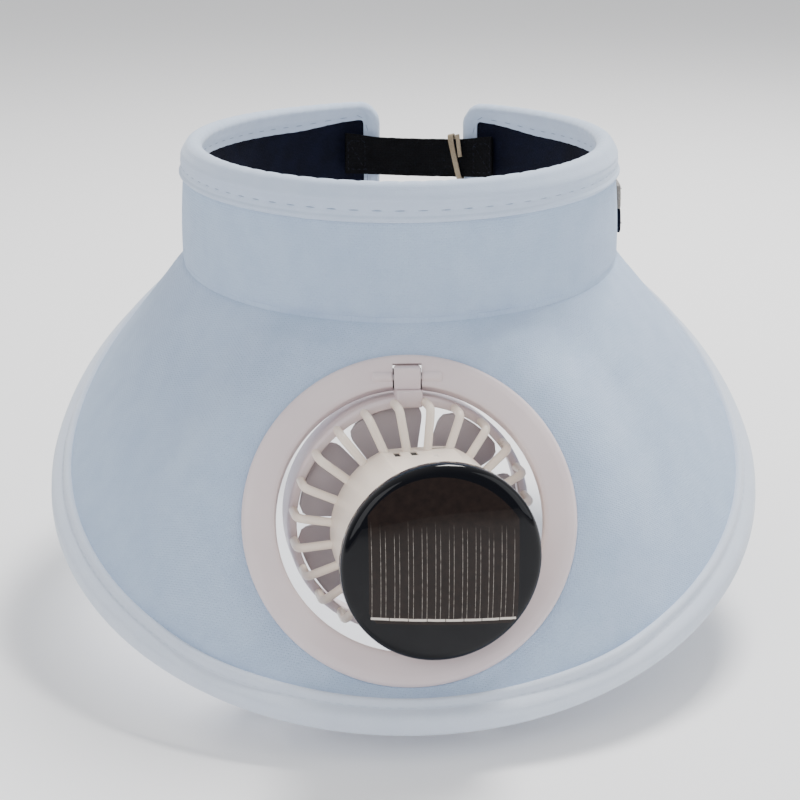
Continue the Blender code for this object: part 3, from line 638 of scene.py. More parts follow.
def plastic_material(name, colour, tint, gloss, scatter=0.0):
    material, tree, shader = start_material(name)
    place = add_node(tree, "ShaderNodeTexCoord")
    dress(tree, shader, moulded, {
        "Vector": place.outputs["Object"], "Colour": (*colour, 1.0), "Tint": (*tint, 1.0),
        "Gloss": gloss, "Grain": 0.5,
    }, 0.25, 0.00004)
    set_plain(shader, Subsurface_Weight=scatter, Subsurface_Radius=(0.003, 0.002, 0.0015),
              Subsurface_Scale=1.0)
    return material


def steel_material():
    material, tree, shader = start_material("drawn_steel")
    place = add_node(tree, "ShaderNodeTexCoord")
    stretch = add_node(tree, "ShaderNodeMapping", {
        "Scale": (0.03, 1.0, 1.0), "Vector": place.outputs["Object"],
    })
    lines = noise_field(tree, stretch.outputs["Vector"], 6000.0, 3.0, 0.7)
    colour = mixed(tree, lines, (0.62, 0.62, 0.64, 1.0), (0.45, 0.44, 0.43, 1.0))
    tree.links.new(ranged(tree, lines, 0.3, 0.7, 0.22, 0.42), shader.inputs["Roughness"])
    tree.links.new(colour, shader.inputs["Base Color"])
    set_plain(shader, Metallic=1.0)
    return material


def panel_material():
    """Dark cell with fine lines and a busbar, under clear resin; the UV map is the disc's own plane."""
    material, tree, shader = start_material("solar_resin")
    plane = add_node(tree, "ShaderNodeUVMap", uv_map="disc").outputs["UV"]
    x, y = add_node(tree, "ShaderNodeSeparateXYZ", {0: plane}).outputs[:2]
    square = maths(tree, "ADD", maths(tree, "MULTIPLY", x, x), maths(tree, "MULTIPLY", y, y))
    radius = maths(tree, "SQRT", square)

    def below(value, limit, soft=0.00006):
        return ranged(tree, value, limit - soft, limit + soft, 1.0, 0.0)

    def above(value, limit, soft=0.00006):
        return ranged(tree, value, limit - soft, limit + soft, 0.0, 1.0)

    def both(*masks):
        result = masks[0]
        for mask in masks[1:]:
            result = maths(tree, "MULTIPLY", result, mask)
        return result

    side = maths(tree, "ABSOLUTE", x)
    cell = both(below(side, CELL_HALF_WIDTH), below(radius, CELL_ROUND), above(y, CELL_LOW))
    # The fine lines stand in pairs, a wide and a narrow space in turn
    pair = maths(tree, "PINGPONG", maths(tree, "ADD", x, CELL_LINE_SHIFT), CELL_LINE_PAIR)
    near = maths(tree, "ABSOLUTE", maths(tree, "SUBTRACT", pair, CELL_LINE_PLACE))
    wander = noise_field(tree, plane, 700.0)
    ragged = maths(tree, "MULTIPLY", noise_field(tree, plane, 160.0), 0.012)
    reach = ranged(tree, maths(tree, "ADD", y, ragged), 0.0120, 0.0185, 1.0, 0.0)
    fine_lines = both(
        below(near, CELL_LINE_HALF_WIDTH, 0.00004), below(side, 0.0213), reach, above(y, -0.0158)
    )
    worn = maths(tree, "MULTIPLY", fine_lines, ranged(tree, wander, 0.35, 0.6, 0.20, 0.55))
    segments = maths(tree, "PINGPONG", x, BUSBAR_SEGMENT)
    step = maths(tree, "MULTIPLY", noise_field(tree, plane, 260.0), 0.0003)
    height = maths(tree, "ABSOLUTE", maths(tree, "ADD", maths(tree, "ADD", y, BUSBAR_DOWN), step))
    busbar = both(below(height, BUSBAR_HALF_WIDTH), below(side, 0.0214), above(segments, 0.00012))
    metal = maths(tree, "MAXIMUM", worn, busbar)
    crystal = ranged(tree, noise_field(tree, plane, 420.0, 3.0), 0.3, 0.7)
    tone = mixed(tree, crystal, (0.010, 0.0060, 0.0048, 1.0), (0.017, 0.0102, 0.0080, 1.0))
    back = mixed(tree, cell, (0.0012, 0.0014, 0.003, 1.0), tone)
    tree.links.new(mixed(tree, metal, back, (0.62, 0.56, 0.50, 1.0)), shader.inputs["Base Color"])
    tree.links.new(ranged(tree, metal, 0.0, 1.0, 0.12, 0.30), shader.inputs["Roughness"])
    smears = noise_field(tree, plane, 60.0, 4.0, 0.6)
    tree.links.new(ranged(tree, smears, 0.3, 0.8, 1.0, 0.85), shader.inputs["Coat Weight"])
    bump_into(tree, shader, noise_field(tree, plane, 90.0, 1.0), 0.05, 0.0006)
    set_plain(shader, Coat_Roughness=0.025, Specular_IOR_Level=0.0, Coat_IOR=1.32)
    return material


plain_weave = weave_group()
moulded = moulded_group()

# Name, colour, shade, pitch of the threads, fuzz, mottle and painted shade between threads, sheen and relief
CLOTHS = (
    ("pale_blue_cloth", (0.45, 0.56, 0.73), (0.36, 0.47, 0.65), 0.00072, 0.55, 0.40, 0.20, 0.55),
    ("pale_tape", (0.53, 0.62, 0.76), (0.45, 0.54, 0.70), 0.00050, 0.30, 0.30, 0.30, 0.25),
    ("rim_satin", (0.63, 0.69, 0.79), (0.54, 0.61, 0.73), 0.00050, 0.25, 0.30, 0.40, 0.20),
    ("navy_lining", (0.0045, 0.0060, 0.018), (0.002, 0.0025, 0.006), 0.00060, 0.50, 0.6, 0.0, 0.35),
    ("black_webbing", (0.0035, 0.0035, 0.0045), (0.001, 0.001, 0.0015), 0.00110, 0.35, 0.6, 0.0, 0.60),
    ("tan_tape", (0.42, 0.335, 0.23), (0.26, 0.20, 0.13), 0.00060, 0.80, 0.7, 0.20, 0.60),
    ("fuzzy_tape", (0.40, 0.36, 0.31), (0.24, 0.21, 0.18), 0.00045, 1.30, 0.8, 0.50, 0.90),
    ("pale_thread", (0.62, 0.68, 0.78), (0.45, 0.52, 0.64), 0.00030, 0.40, 0.4, 0.30, 0.3),
    ("blue_thread", (0.30, 0.38, 0.52), (0.22, 0.28, 0.40), 0.00030, 0.40, 0.4, 0.10, 0.3),
    ("dark_thread", (0.010, 0.011, 0.020), (0.004, 0.004, 0.008), 0.00030, 0.40, 0.4, 0.10, 0.3),
)
(pale_cloth, pale_tape, rim_satin, lining_cloth, webbing,
 tan_tape, fuzzy_tape, pale_thread, blue_thread, dark_thread) = (cloth_material(*row) for row in CLOTHS)

bezel_plastic = plastic_material("bezel_plastic", (0.72, 0.615, 0.615), (0.67, 0.565, 0.575), 0.42)
guard_plastic = plastic_material("guard_plastic", (0.88, 0.77, 0.66), (0.84, 0.72, 0.61), 0.34, scatter=0.06)
# The rotor's grey-mauve is its pale plastic darkened with painted shade
shaded_rotor_plastic = plastic_material("shaded_rotor_plastic", (0.44, 0.39, 0.41), (0.37, 0.33, 0.35), 0.38)
# Near-black plates in the hinge pocket and the hub's recesses: painted shade
recess_shade_plastic = plastic_material("recess_shadow", (0.035, 0.03, 0.028), (0.02, 0.018, 0.016), 0.7)
drawn_steel = steel_material()
solar_resin = panel_material()


# Geometry Nodes: a row of stitches along a path, and ribs round an axis

def new_tree(name, inputs):
    tree = bpy.data.node_groups.new(name, "GeometryNodeTree")
    tree.interface.new_socket("Geometry", in_out="INPUT", socket_type="NodeSocketGeometry")
    tree.interface.new_socket("Geometry", in_out="OUTPUT", socket_type="NodeSocketGeometry")
    sockets = {}
    for label, kind, default in inputs:
        socket = tree.interface.new_socket(label, in_out="INPUT", socket_type=kind)
        if default is not None:
            socket.default_value = default
        sockets[label] = socket.identifier
    return tree, sockets, tree.nodes.new("NodeGroupInput"), tree.nodes.new("NodeGroupOutput")


def finish_tree(tree, geometry, given, out):
    real = add_node(tree, "GeometryNodeRealizeInstances", {"Geometry": geometry})
    shade = add_node(tree, "GeometryNodeSetShadeSmooth", {"Geometry": real.outputs["Geometry"]})
    paint = add_node(tree, "GeometryNodeSetMaterial", {
        "Geometry": shade.outputs["Geometry"], "Material": given.outputs["Material"],
    })
    tree.links.new(paint.outputs["Geometry"], out.inputs["Geometry"])


def stitch_tree():
    tree, sockets, given, out = new_tree("stitch_row", [
        ("Pitch", "NodeSocketFloat", 0.004),
        ("Thread Size", "NodeSocketVector", (0.0015, 0.0003, 0.0002)),
        ("Material", "NodeSocketMaterial", None),
    ])
    path = add_node(tree, "GeometryNodeMeshToCurve", {"Mesh": given.outputs["Geometry"]})
    spaced = add_node(tree, "GeometryNodeResampleCurve", {
        "Curve": path.outputs["Curve"], "Length": given.outputs["Pitch"],
    }, mode="LENGTH")
    thread = add_node(tree, "GeometryNodeMeshUVSphere", {"Segments": 8, "Rings": 6, "Radius": 1.0})
    sized = add_node(tree, "GeometryNodeTransform", {
        "Geometry": thread.outputs["Mesh"], "Scale": given.outputs["Thread Size"],
    })
    outward = add_node(tree, "GeometryNodeInputNamedAttribute", {"Name": "outward"}, data_type="FLOAT_VECTOR")
    tangent = add_node(tree, "GeometryNodeInputTangent")
    along = add_node(tree, "FunctionNodeAlignRotationToVector", {"Vector": tangent.outputs[0]}, axis="X")
    upright = add_node(tree, "FunctionNodeAlignRotationToVector", {
        "Rotation": along.outputs["Rotation"], "Vector": outward.outputs["Attribute"],
    }, axis="Z", pivot_axis="X")
    copies = add_node(tree, "GeometryNodeInstanceOnPoints", {
        "Points": spaced.outputs["Curve"], "Instance": sized.outputs["Geometry"],
        "Rotation": upright.outputs["Rotation"],
    })
    finish_tree(tree, copies.outputs["Instances"], given, out)
    return tree, sockets


def rib_tree():
    tree, sockets, given, out = new_tree("ribs_round_axis", [
        ("Count", "NodeSocketInt", 12),
        ("Rib Radius", "NodeSocketFloat", 0.001),
        ("Material", "NodeSocketMaterial", None),
    ])
    path = add_node(tree, "GeometryNodeMeshToCurve", {"Mesh": given.outputs["Geometry"]})
    section = add_node(tree, "GeometryNodeCurvePrimitiveCircle", {
        "Resolution": 14, "Radius": given.outputs["Rib Radius"],
    })
    rib = add_node(tree, "GeometryNodeCurveToMesh", {
        "Fill Caps": True, "Curve": path.outputs["Curve"], "Profile Curve": section.outputs["Curve"],
    })
    points = add_node(tree, "GeometryNodePoints", {"Count": given.outputs["Count"]})
    index = add_node(tree, "GeometryNodeInputIndex")
    share = maths(tree, "DIVIDE", maths(tree, "ADD", index.outputs[0], 0.5), given.outputs["Count"])
    spin = add_node(tree, "ShaderNodeCombineXYZ", {"Z": maths(tree, "MULTIPLY", share, 2 * math.pi)})
    rotation = add_node(tree, "FunctionNodeEulerToRotation", {"Euler": spin.outputs["Vector"]})
    copies = add_node(tree, "GeometryNodeInstanceOnPoints", {
        "Points": points.outputs[0], "Instance": rib.outputs["Mesh"],
        "Rotation": rotation.outputs["Rotation"],
    })
    finish_tree(tree, copies.outputs["Instances"], given, out)
    return tree, sockets


def path_object(name, points, outward=None):
    mesh = bpy.data.meshes.new(name)
    mesh.from_pydata([tuple(p) for p in points], [(i, i + 1) for i in range(len(points) - 1)], [])
    if outward:
        layer = mesh.attributes.new("outward", "FLOAT_VECTOR", "POINT")
        for item, value in zip(layer.data, outward):
            item.vector = value
    obj = bpy.data.objects.new(name, mesh)
    bpy.context.scene.collection.objects.link(obj)
    return obj


def grown(obj, tree, values):
    """Run a Geometry Nodes tree on an object and keep its result as a plain mesh."""
    modifier = obj.modifiers.new("grow", "NODES")
    modifier.node_group = tree
    for identifier, value in values:
        modifier[identifier] = value
    obj.update_tag()
    settle(obj)
    if "outward" in obj.data.attributes:
        obj.data.attributes.remove(obj.data.attributes["outward"])
    return obj


STITCH_TREE, STITCH_INPUTS = stitch_tree()
RIB_TREE, RIB_INPUTS = rib_tree()


def stitches(name, points, outward, pitch, size, material):
    row = path_object(name, points, outward)
    grown(row, STITCH_TREE, [
        (STITCH_INPUTS["Pitch"], pitch),
        (STITCH_INPUTS["Thread Size"], size),
        (STITCH_INPUTS["Material"], material),
    ])
    register(row, "hat")
    return row


# The band, its lining and the tape rolled over its edge

def tape_share(angle):
    """0 at the band's ends, 1 along the rest, where the tape has its full width."""
    from_left = abs(angle - LEFT_END) * BAND_HALF_WIDTH
    from_right = abs(RIGHT_END - angle) * BAND_HALF_WIDTH
    return ease((min(from_left, from_right) - 0.006) / 0.035)


def band_sheet(name, outward, wall, bottom, rows_count, puff, material):
    left, middle, right = band_columns(300)
    columns = left + middle + right
    shares = [0.0, 0.010, 0.024, 0.045] + [0.08 + 0.92 * i / rows_count for i in range(rows_count + 1)]
    rows = []
    for share in shares:
        row = []
        for angle, top, turn in columns:
            full = turn > math.radians(89)
            tuck = TAPE_TUCK * min(1.0, tape_share(angle) * 3.0) if full else 0.0
            height = bottom + (top - tuck - bottom) * share
            swell = puff * math.sin(math.pi * min(share * 1.25, 1.0)) ** 0.7
            ripple = 0.00022 * soft_noise((angle * 4.0, height * 40.0, outward * 900), 1.0)
            rounded = SEAM_CREASE * (1.0 - ease((height - bottom) / 0.0017))
            row.append(band_point(angle, height, outward + (swell + ripple) * (0.0 < share < 1.0) - rounded))
        rows.append(row)
    mesh, area = sheet_mesh(name, rows)
    obj = smooth(thicken(link(name, mesh, material), wall), 50)
    return obj, area


def make_band():
    band, area = band_sheet("band_cloth", 0.0, BAND_WALL, SEAM_HEIGHT, 20, 0.00035, pale_cloth)
    register(band, "hat", "crown_band")
    inset = -(BAND_WALL / 2 + FIT + LINING_WALL / 2)
    bottom = SEAM_HEIGHT + 0.001
    lining, area = band_sheet("band_lining", inset, LINING_WALL, bottom, 16, -0.0003, lining_cloth)
    register(lining, "hat", "sweatband")


def band_tape_section(outer_leg, inner_leg, tack):
    """Across and beyond the cloth's edge: raised fold, stitch groove, full roll, inner leg."""
    outer = BAND_WALL / 2 + TAPE_GAP
    inner = outer + FIT + LINING_WALL
    return [
        (outer - 0.00010, -outer_leg),
        (outer + 0.00035, -outer_leg + 0.0002),
        (outer + 0.00055, -outer_leg + 0.0008),
        (outer + 0.00005, -outer_leg + 0.0016),
        (outer, -outer_leg * 0.74),
        (outer - 0.00010 - 0.00030 * tack, -outer_leg * 0.64),
        (outer, -outer_leg * 0.54),
        (outer - 0.00005, -outer_leg * 0.38),
        (outer + 0.00025, -outer_leg * 0.31),
        (outer + 0.00048, -outer_leg * 0.16),
        (outer + 0.00020, 0.0000),
        (outer * 0.62, 0.00125),
        (-outer * 0.30, 0.00195 - 0.00020 * tack),
        (-inner * 0.75, 0.00165 - 0.00030 * tack),
        (-inner - 0.00060 + 0.00025 * tack, 0.00045),
        (-inner - 0.00085 + 0.00030 * tack, -inner_leg * 0.15),
        (-inner - 0.00060, -inner_leg * 0.36),
        (-inner - 0.00025 + 0.00015 * tack, -inner_leg * 0.56),
        (-inner - 0.00015, -inner_leg * 0.76),
        (-inner - 0.00010, -inner_leg + 0.00015 * tack),
    ]


def band_tape_stations():
    """Edge point, direction past the edge, normal, leg share and distance along the tape."""
    left, middle, right = band_columns(420, 9)
    places = [(left[0][0], SEAM_HEIGHT + left[0][1] * share, 0.0, -1.0) for share in (0.0, 0.25, 0.5, 0.75)]
    places += [(angle, top, turn, -1.0) for angle, top, turn in left]
    places += [(angle, top, turn, 1.0) for angle, top, turn in middle + right]
    tail = right[-1]
    places += [(tail[0], SEAM_HEIGHT + tail[1] * share, 0.0, 1.0) for share in (0.75, 0.5, 0.25, 0.0)]
    stations = []
    distance = 0.0
    last = None
    for angle, top, turn, side in places:
        edge = band_point(angle, top)
        upwards = (band_point(angle, BAND_HEIGHT) - band_point(angle, 0.0)).normalized()
        along = Vector((0, 0, 1)).cross(band_normal(angle))
        normal = along.cross(upwards)
        beyond = upwards * math.sin(turn) + along * side * math.cos(turn)
        share = tape_share(angle) if turn > 1.5 else 0.0
        if last is not None:
            distance += (edge - last).length
        last = edge
        stations.append((edge, beyond, normal, share, distance))
    return stations


def tape_point(station, section_point):
    edge, beyond, normal = station[:3]
    return edge + normal * section_point[0] + beyond * section_point[1]


def legs(share):
    outer = TAPE_END_LEG + (TAPE_OUTER_LEG - TAPE_END_LEG) * share
    inner = TAPE_END_LEG + (TAPE_INNER_LEG - TAPE_END_LEG) * share
    return outer, inner


def finish_tape(name, rows, material, wall, node):
    mesh, area = sheet_mesh(name, rows)
    tape = smooth(thicken(link(name, mesh, material), wall, even=False), 60)
    register(tape, "hat", node)


def make_band_tape():
    stations = band_tape_stations()
    rows = []
    for station in stations:
        outer_leg, inner_leg = legs(station[3])
        phase = math.cos(2 * math.pi * station[4] / STITCH_PITCH)
        tack = math.exp(-(1.0 - phase) * 3.0)
        section = curved(band_tape_section(outer_leg, inner_leg, tack), 3)
        lean = TAPE_LEAN * station[3]
        leaning = [(x - lean * ease((y + 0.0042) / 0.0046), y) for x, y in section]
        rows.append([tape_point(station, point) for point in leaning])
    finish_tape("band_tape", rows, pale_tape, TAPE_WALL * 0.8, "band_binding")

    outer = BAND_WALL / 2 + TAPE_GAP
    inner = outer + FIT + LINING_WALL
    size = (STITCH_PITCH * 0.26, 0.00017, 0.00012)
    for name, side, across, leg, share in (
        ("band_tape_stitches", 1.0, outer + 0.00022, 0, 0.64),
        ("band_tape_inner_stitches", -1.0, -inner - 0.00055, 1, 0.70),
    ):
        points = [tape_point(s, (across, -legs(s[3])[leg] * share)) for s in stations]
        outward = [s[2] * side for s in stations]
        stitches(name, points, outward, STITCH_PITCH, size, blue_thread)


# The brim and the tape round its rim

def brim_angles(count):
    return [BRIM_END_ANGLE * (2.0 * i / count - 1.0) for i in range(count + 1)]


def make_brim():
    angles = brim_angles(260)
    rows_count = 72
    centre = bezel_axes()[0]
    place_back = BEZEL_PLACE.inverted()

    def outside_bezel(point):
        local = place_back @ Vector(point)
        if abs(local.z) > 0.02:
            return True
        if math.hypot(local.x, local.y) < BEZEL_BORE + 0.0031:
            return False
        if abs(local.x) < SLOT_HALF_WIDTH + 0.0012 and 0 < local.y < SLOT_TOP + 0.0010:
            return False
        return not (abs(local.x) < SLOT_HALF_WIDTH + BOSS_LENGTH + 0.0008 and 0 < local.y < PIN_UP + 0.0026)

    develop_radius = 0.1300        # of the brim's seam, once the cloth is laid flat
    rows = []
    flat = []
    shares = [0.0, 0.003, 0.009, 0.018] + [0.03 + 0.97 * i / rows_count for i in range(rows_count + 1)]
    for share in shares:
        crease = SEAM_CREASE * (1.0 - ease(share / 0.016))
        row = []
        flat_row = []
        arc = 0.0
        last = brim_seam(angles[0])
        for angle in angles:
            seam = brim_seam(angle)
            arc += (seam - last).length
            last = seam
            point = brim_point(angle, share) if share else band_point(angle, SEAM_TUCK)
            along = (brim_rim(angle) - seam).length * share
            fade = ease(share / 0.15) * ease((0.93 - share) / 0.20)
            local = point - centre
            far = ease((local.length - BEZEL_RADIUS - 0.004) / 0.03)
            wave = 0.0011 * soft_noise((angle * 1.7, share * 1.3, 3.0), 1.0)
            wave += 0.00025 * soft_noise((angle * 9.0, share * 7.0, 8.0), 1.0)
            outwards = band_normal(angle) * 0.75 + Vector((0, 0, 0.66))
            row.append(point + outwards * (wave * fade * far - crease))
            turn = arc / develop_radius
            reach = develop_radius + along
            flat_row.append((reach * math.sin(turn), reach * math.cos(turn)))
        rows.append(row)
        flat.append(flat_row)
    mesh, area = sheet_mesh("brim_cloth", rows, flat, outside_bezel)
    brim = smooth(thicken(link("brim_cloth", mesh, pale_cloth), BRIM_WALL), 50)
    register(brim, "hat", "brim")


def rim_tape_section(depth):
    across = RIM_TAPE_ACROSS
    tip = 0.0013
    half = [
        (across - 0.00110, -depth - 0.0002),
        (across - 0.00035, -depth - 0.0001),
        (across + 0.00030, -depth + 0.0001),
        (across + 0.00062, -depth + 0.0007),
        (across + 0.00035, -depth + 0.0015),
        (across - 0.00002, -depth * 0.70),
        (across - 0.00008, -depth * 0.58),
        (across + 0.00050, -depth * 0.44),
        (across + 0.00115, -depth * 0.24),
        (across + 0.00100, -depth * 0.04),
        (across * 0.90, tip * 0.85),
        (across * 0.32, tip + 0.0010),
    ]
    return half + [(-x, y) for x, y in reversed(half)]


def rim_tape_stations():
    stations = []
    small = math.radians(0.5)
    distance = 0.0
    last = None
    for angle in brim_angles(430):
        edge = brim_rim(angle)
        beyond = (edge - brim_point(angle, 1.0 - BRIM_LOW_MARGIN)).normalized()
        before = max(angle - small, -BRIM_END_ANGLE)
        after = min(angle + small, BRIM_END_ANGLE)
        along = (brim_rim(after) - brim_rim(before)).normalized()
        normal = along.cross(beyond).normalized()
        if normal.dot(band_normal(angle)) < 0:
            normal.negate()
        beyond = (beyond - along * beyond.dot(along)).normalized()
        depth = min(RIM_TAPE_DEPTH, (edge - brim_seam(angle)).length * 0.75)
        if last is not None:
            distance += (edge - last).length
        last = edge
        stations.append((edge, beyond, normal, depth, distance))
    return stations


def make_rim_tape():
    stations = rim_tape_stations()
    rows = []
    for station in stations:
        section = curved(rim_tape_section(station[3]), 3)
        ripple = 0.00012 * math.sin(2 * math.pi * station[4] / RIM_STITCH_PITCH)
        lifted = [(x + math.copysign(ripple, x) * (y < -0.004), y) for x, y in section]
        rows.append([tape_point(station, point) for point in lifted])
    finish_tape("rim_tape", rows, rim_satin, RIM_TAPE_WALL * 0.75, "brim_binding")
    across = RIM_TAPE_ACROSS + 0.00036
    size = (RIM_STITCH_PITCH * 0.33, 0.00022, 0.00014)
    for name, side in (("rim_stitches", 1.0), ("rim_under_stitches", -1.0)):
        points = [tape_point(s, (side * across, -s[3] * 0.62)) for s in stations]
        outward = [s[2] * side for s in stations]
        stitches(name, points, outward, RIM_STITCH_PITCH, size, pale_thread)


# Strap, its loop, and the tab on the side

def make_strap():
    inside_tape = BAND_WALL / 2 + FIT * 3 + LINING_WALL + TAPE_WALL
    outward = -(inside_tape + TAPE_SWELL + STRAP_WALL / 2)
    first = arc_step(RIGHT_END, -STRAP_OVERLAP)
    last = arc_step(2 * math.pi + LEFT_END, STRAP_OVERLAP)

    def strap_place(along, share):
        angle = first + (last - first) * along
        return angle, STRAP_BOTTOM + STRAP_HEIGHT * share - STRAP_DIP * math.sin(math.pi * along)

    def woven(along, share):
        angle, height = strap_place(along, share)
        free = ease((along - 0.2) / 0.15) * ease((0.8 - along) / 0.15)
        flare = 0.0022 * (1.0 - ease(min(along, 1.0 - along) / 0.24)) * max(share - 0.5, 0.0)
        frill = soft_noise((along * 30.0, round(share), 2.0), 1.0) * free * abs(share - 0.5) * 2.0
        ripple = 0.00018 * soft_noise((along * 22.0, share * 3.0, 6.0), 1.0) * free
        return band_point(angle, height + 0.00016 * frill + flare, outward + ripple)

    mesh, area = sheet_mesh("rear_webbing", grid(12, 90, woven))
    strap = smooth(thicken(link("rear_webbing", mesh, webbing), STRAP_WALL), 40)
    register(strap, "hat", "rear_strap")
    # Each end is sewn down in a box with one diagonal
    for name, low, high in (("strap_tack_right", 0.015, 0.13), ("strap_tack_left", 0.87, 0.985)):
        corners = [(low, 0.12), (high, 0.12), (high, 0.88), (low, 0.88), (low, 0.12), (high, 0.88)]
        points = []
        outwards = []
        for (a0, s0), (a1, s1) in zip(corners, corners[1:]):
            for k in range(12):
                t = k / 12
                angle, height = strap_place(a0 + (a1 - a0) * t, s0 + (s1 - s0) * t)
                points.append(band_point(angle, height, outward - STRAP_WALL / 2 - 0.00005))
                outwards.append(-band_normal(angle))
        stitches(name, points, outwards, TACK_PITCH, (0.0009, 0.00018, 0.00012), dark_thread)
    make_keeper(outward)


def make_keeper(outward):
    angle = angle_at_x(KEEPER_X + LOOP_SHIFT)
    centre = band_point(angle, STRAP_BOTTOM + STRAP_HEIGHT / 2 - STRAP_DIP * 0.5, outward)
    normal = band_normal(angle)
    along = Vector((0, 0, 1)).cross(normal)
    # The photo's lean, read late: the solid leans as far the other way
    up = (Vector((0, 0, 1)) * math.cos(KEEPER_SLANT) + along * math.sin(KEEPER_SLANT)).normalized()
    side = up.cross(normal)
    half_height = STRAP_HEIGHT / 2 / math.cos(KEEPER_SLANT) + FIT * 3 + KEEPER_WALL / 2
    half_depth = STRAP_WALL / 2 + 2 * FIT + KEEPER_WALL / 2
    loop = []
    for step in range(49):
        turn = 2 * math.pi * step / 48
        depth = math.copysign(abs(math.cos(turn)) ** 0.5, math.cos(turn)) * half_depth
        height = math.copysign(abs(math.sin(turn)) ** 0.35, math.sin(turn)) * half_height
        loop.append((depth, height))
    rows = []
    for across in range(5):
        shift = KEEPER_WIDTH * 0.62 * (across / 4 - 0.5)
        crown = 0.00012 * (1.0 - (across / 2 - 1.0) ** 2)
        rows.append([centre + normal * (d + math.copysign(crown, d)) + up * h + side * shift
                     for d, h in loop])
    mesh = sheet_mesh("strap_loop", rows)[0]
    loop_mesh = bmesh.new()
    loop_mesh.from_mesh(mesh)
    bmesh.ops.remove_doubles(loop_mesh, verts=loop_mesh.verts, dist=0.000001)
    loop_mesh.to_mesh(mesh)
    loop_mesh.free()

    def tail_point(down, across):
        shift = 0.0030 + 0.0016 * across - 0.0009 * down
        return (centre - normal * (half_depth + 0.0004 + 0.0003 * down) - side * shift
                + up * (half_height - 0.0002 - 0.0095 * down))

    tail_mesh = sheet_mesh("strap_loop_tail", grid(3, 8, tail_point))[0]
    tail = smooth(thicken(link("strap_loop_tail", tail_mesh, tan_tape), KEEPER_WALL * 0.8), 40)
    register(tail, "hat")
    keeper = smooth(thicken(link("strap_loop", mesh, tan_tape), KEEPER_WALL * 0.8), 40)
    register(keeper, "hat", "strap_keeper")


def make_side_tab():
    outward = BAND_WALL / 2 + FIT + TAB_WALL / 2
    last = arc_step(TAB_START_ANGLE, TAB_LENGTH)
    for name, node, bottom, top, material, slot, round_low in (
        ("tab_cloth", "side_tab", TAB_BOTTOM, TAB_SPLIT - FIT / 2, lining_cloth, "navy_cloth", True),
        ("tab_pad", "side_tab_pad", TAB_SPLIT + FIT / 2, TAB_TOP, fuzzy_tape, "tan_tape", False),
    ):
        def tab_point(along, share):
            angle = TAB_START_ANGLE + (last - TAB_START_ANGLE) * along
            low = bottom + (0.0035 * max(0.0, 1.0 - along / 0.125) ** 2 if round_low else 0.0)
            crown = 0.0005 * (math.sin(math.pi * along) * math.sin(math.pi * share)) ** 0.5
            rough = 0.0 if round_low else 0.00018 * soft_noise((along * 40, share * 14, 5.0), 1.0)
            return band_point(angle, low + (top - low) * share, outward + crown + rough)

        mesh = sheet_mesh(name, grid(10, 40, tab_point))[0]
        tab = thicken(link(name, mesh, material), TAB_WALL)
        tab = smooth(soften(tab, 0.0004, 2, 50.0), 50)
        register(tab, "hat", node)
    for name, height in (("tab_stitches_low", TAB_BOTTOM + 0.0040), ("tab_stitches_high", TAB_TOP - 0.0014)):
        angles = [TAB_START_ANGLE + (last - TAB_START_ANGLE) * (0.06 + 0.88 * i / 40) for i in range(41)]
        points = [band_point(angle, height, outward + TAB_WALL / 2 + 0.00035) for angle in angles]
        normals = [band_normal(angle) for angle in angles]
        stitches(name, points, normals, TACK_PITCH, (0.0009, 0.0002, 0.00014), dark_thread)


# Bezel, hinge and fan

def placed(mesh, place):
    mesh.transform(place)
    return mesh


def rod(name, half, radius, shoulder, bevel, steps, centre):
    """A round bar along X, about a point, with eased ends."""
    top = [(0.0, half), (radius * shoulder, half), (radius, half - bevel)]
    outline = top + [(across, -height) for across, height in reversed(top)]
    return turned_to_x(lathe(name, outline, steps, closed=False), centre)


def make_bezel():
    tube = BEZEL_BORE + BEZEL_TUBE_WALL
    grip = -BEZEL_FLANGE - BRIM_WALL - 2 * FIT
    back = grip - BEZEL_BACK_FLANGE
    profile = [
        (BEZEL_RADIUS - 0.0030, 0.0000),
        (BEZEL_RADIUS - 0.0008, -0.0004),
        (BEZEL_RADIUS, -0.0014),
        (BEZEL_RADIUS, -BEZEL_FLANGE),
        (tube, -BEZEL_FLANGE),
        (tube, grip),
        (BEZEL_BACK_RADIUS, grip),
        (BEZEL_BACK_RADIUS, back),
        (BEZEL_BORE, back),
        (BEZEL_BORE, -0.0004),
        (BEZEL_BORE + 0.0012, 0.0000),
    ]
    bezel = link("fan_rim_plate", lathe("fan_rim_plate", filleted(profile, 0.0005)), bezel_plastic)
    for side in (-1, 1):
        at = (side * (SLOT_HALF_WIDTH + BOSS_LENGTH / 2), PIN_UP, -PIN_DEPTH)
        boss = rod("boss", BOSS_LENGTH / 2, BOSS_RADIUS, 0.8, 0.0004, 40, at)
        cut(bezel, link("boss", boss, bezel_plastic), "UNION")
    low = BEZEL_BORE - 0.003
    deep = 0.00515
    slot = block("slot", (2 * SLOT_HALF_WIDTH, SLOT_TOP - low, 2 * deep), (0, (SLOT_TOP + low) / 2, 0))
    cut(bezel, link("slot", slot, bezel_plastic))
    # A dark plate on the slot's floor is painted shade in the hinge pocket
    size = (2 * SLOT_HALF_WIDTH - 0.0001, SLOT_TOP - BEZEL_BORE - 0.0006, 0.0001)
    pocket = block("hinge_pocket_shade", size, (0, (SLOT_TOP + BEZEL_BORE) / 2 + 0.0002, -deep + 0.0001))
    pocket = link("hinge_pocket_shade", placed(pocket, BEZEL_PLACE), recess_shade_plastic)
    register(pocket, "hat")
    placed(bezel.data, BEZEL_PLACE)
    smooth(bezel, 35)
    register(bezel, "hat", "fan_bezel")

    mesh = rod("hinge_wire", PIN_HALF_LENGTH, PIN_RADIUS, 0.7, 0.0003, 32, (0, PIN_UP, -PIN_DEPTH))
    pin = smooth(link("hinge_wire", placed(mesh, BEZEL_PLACE), drawn_steel), 40)
    register(pin, "hat", "hinge_pin")


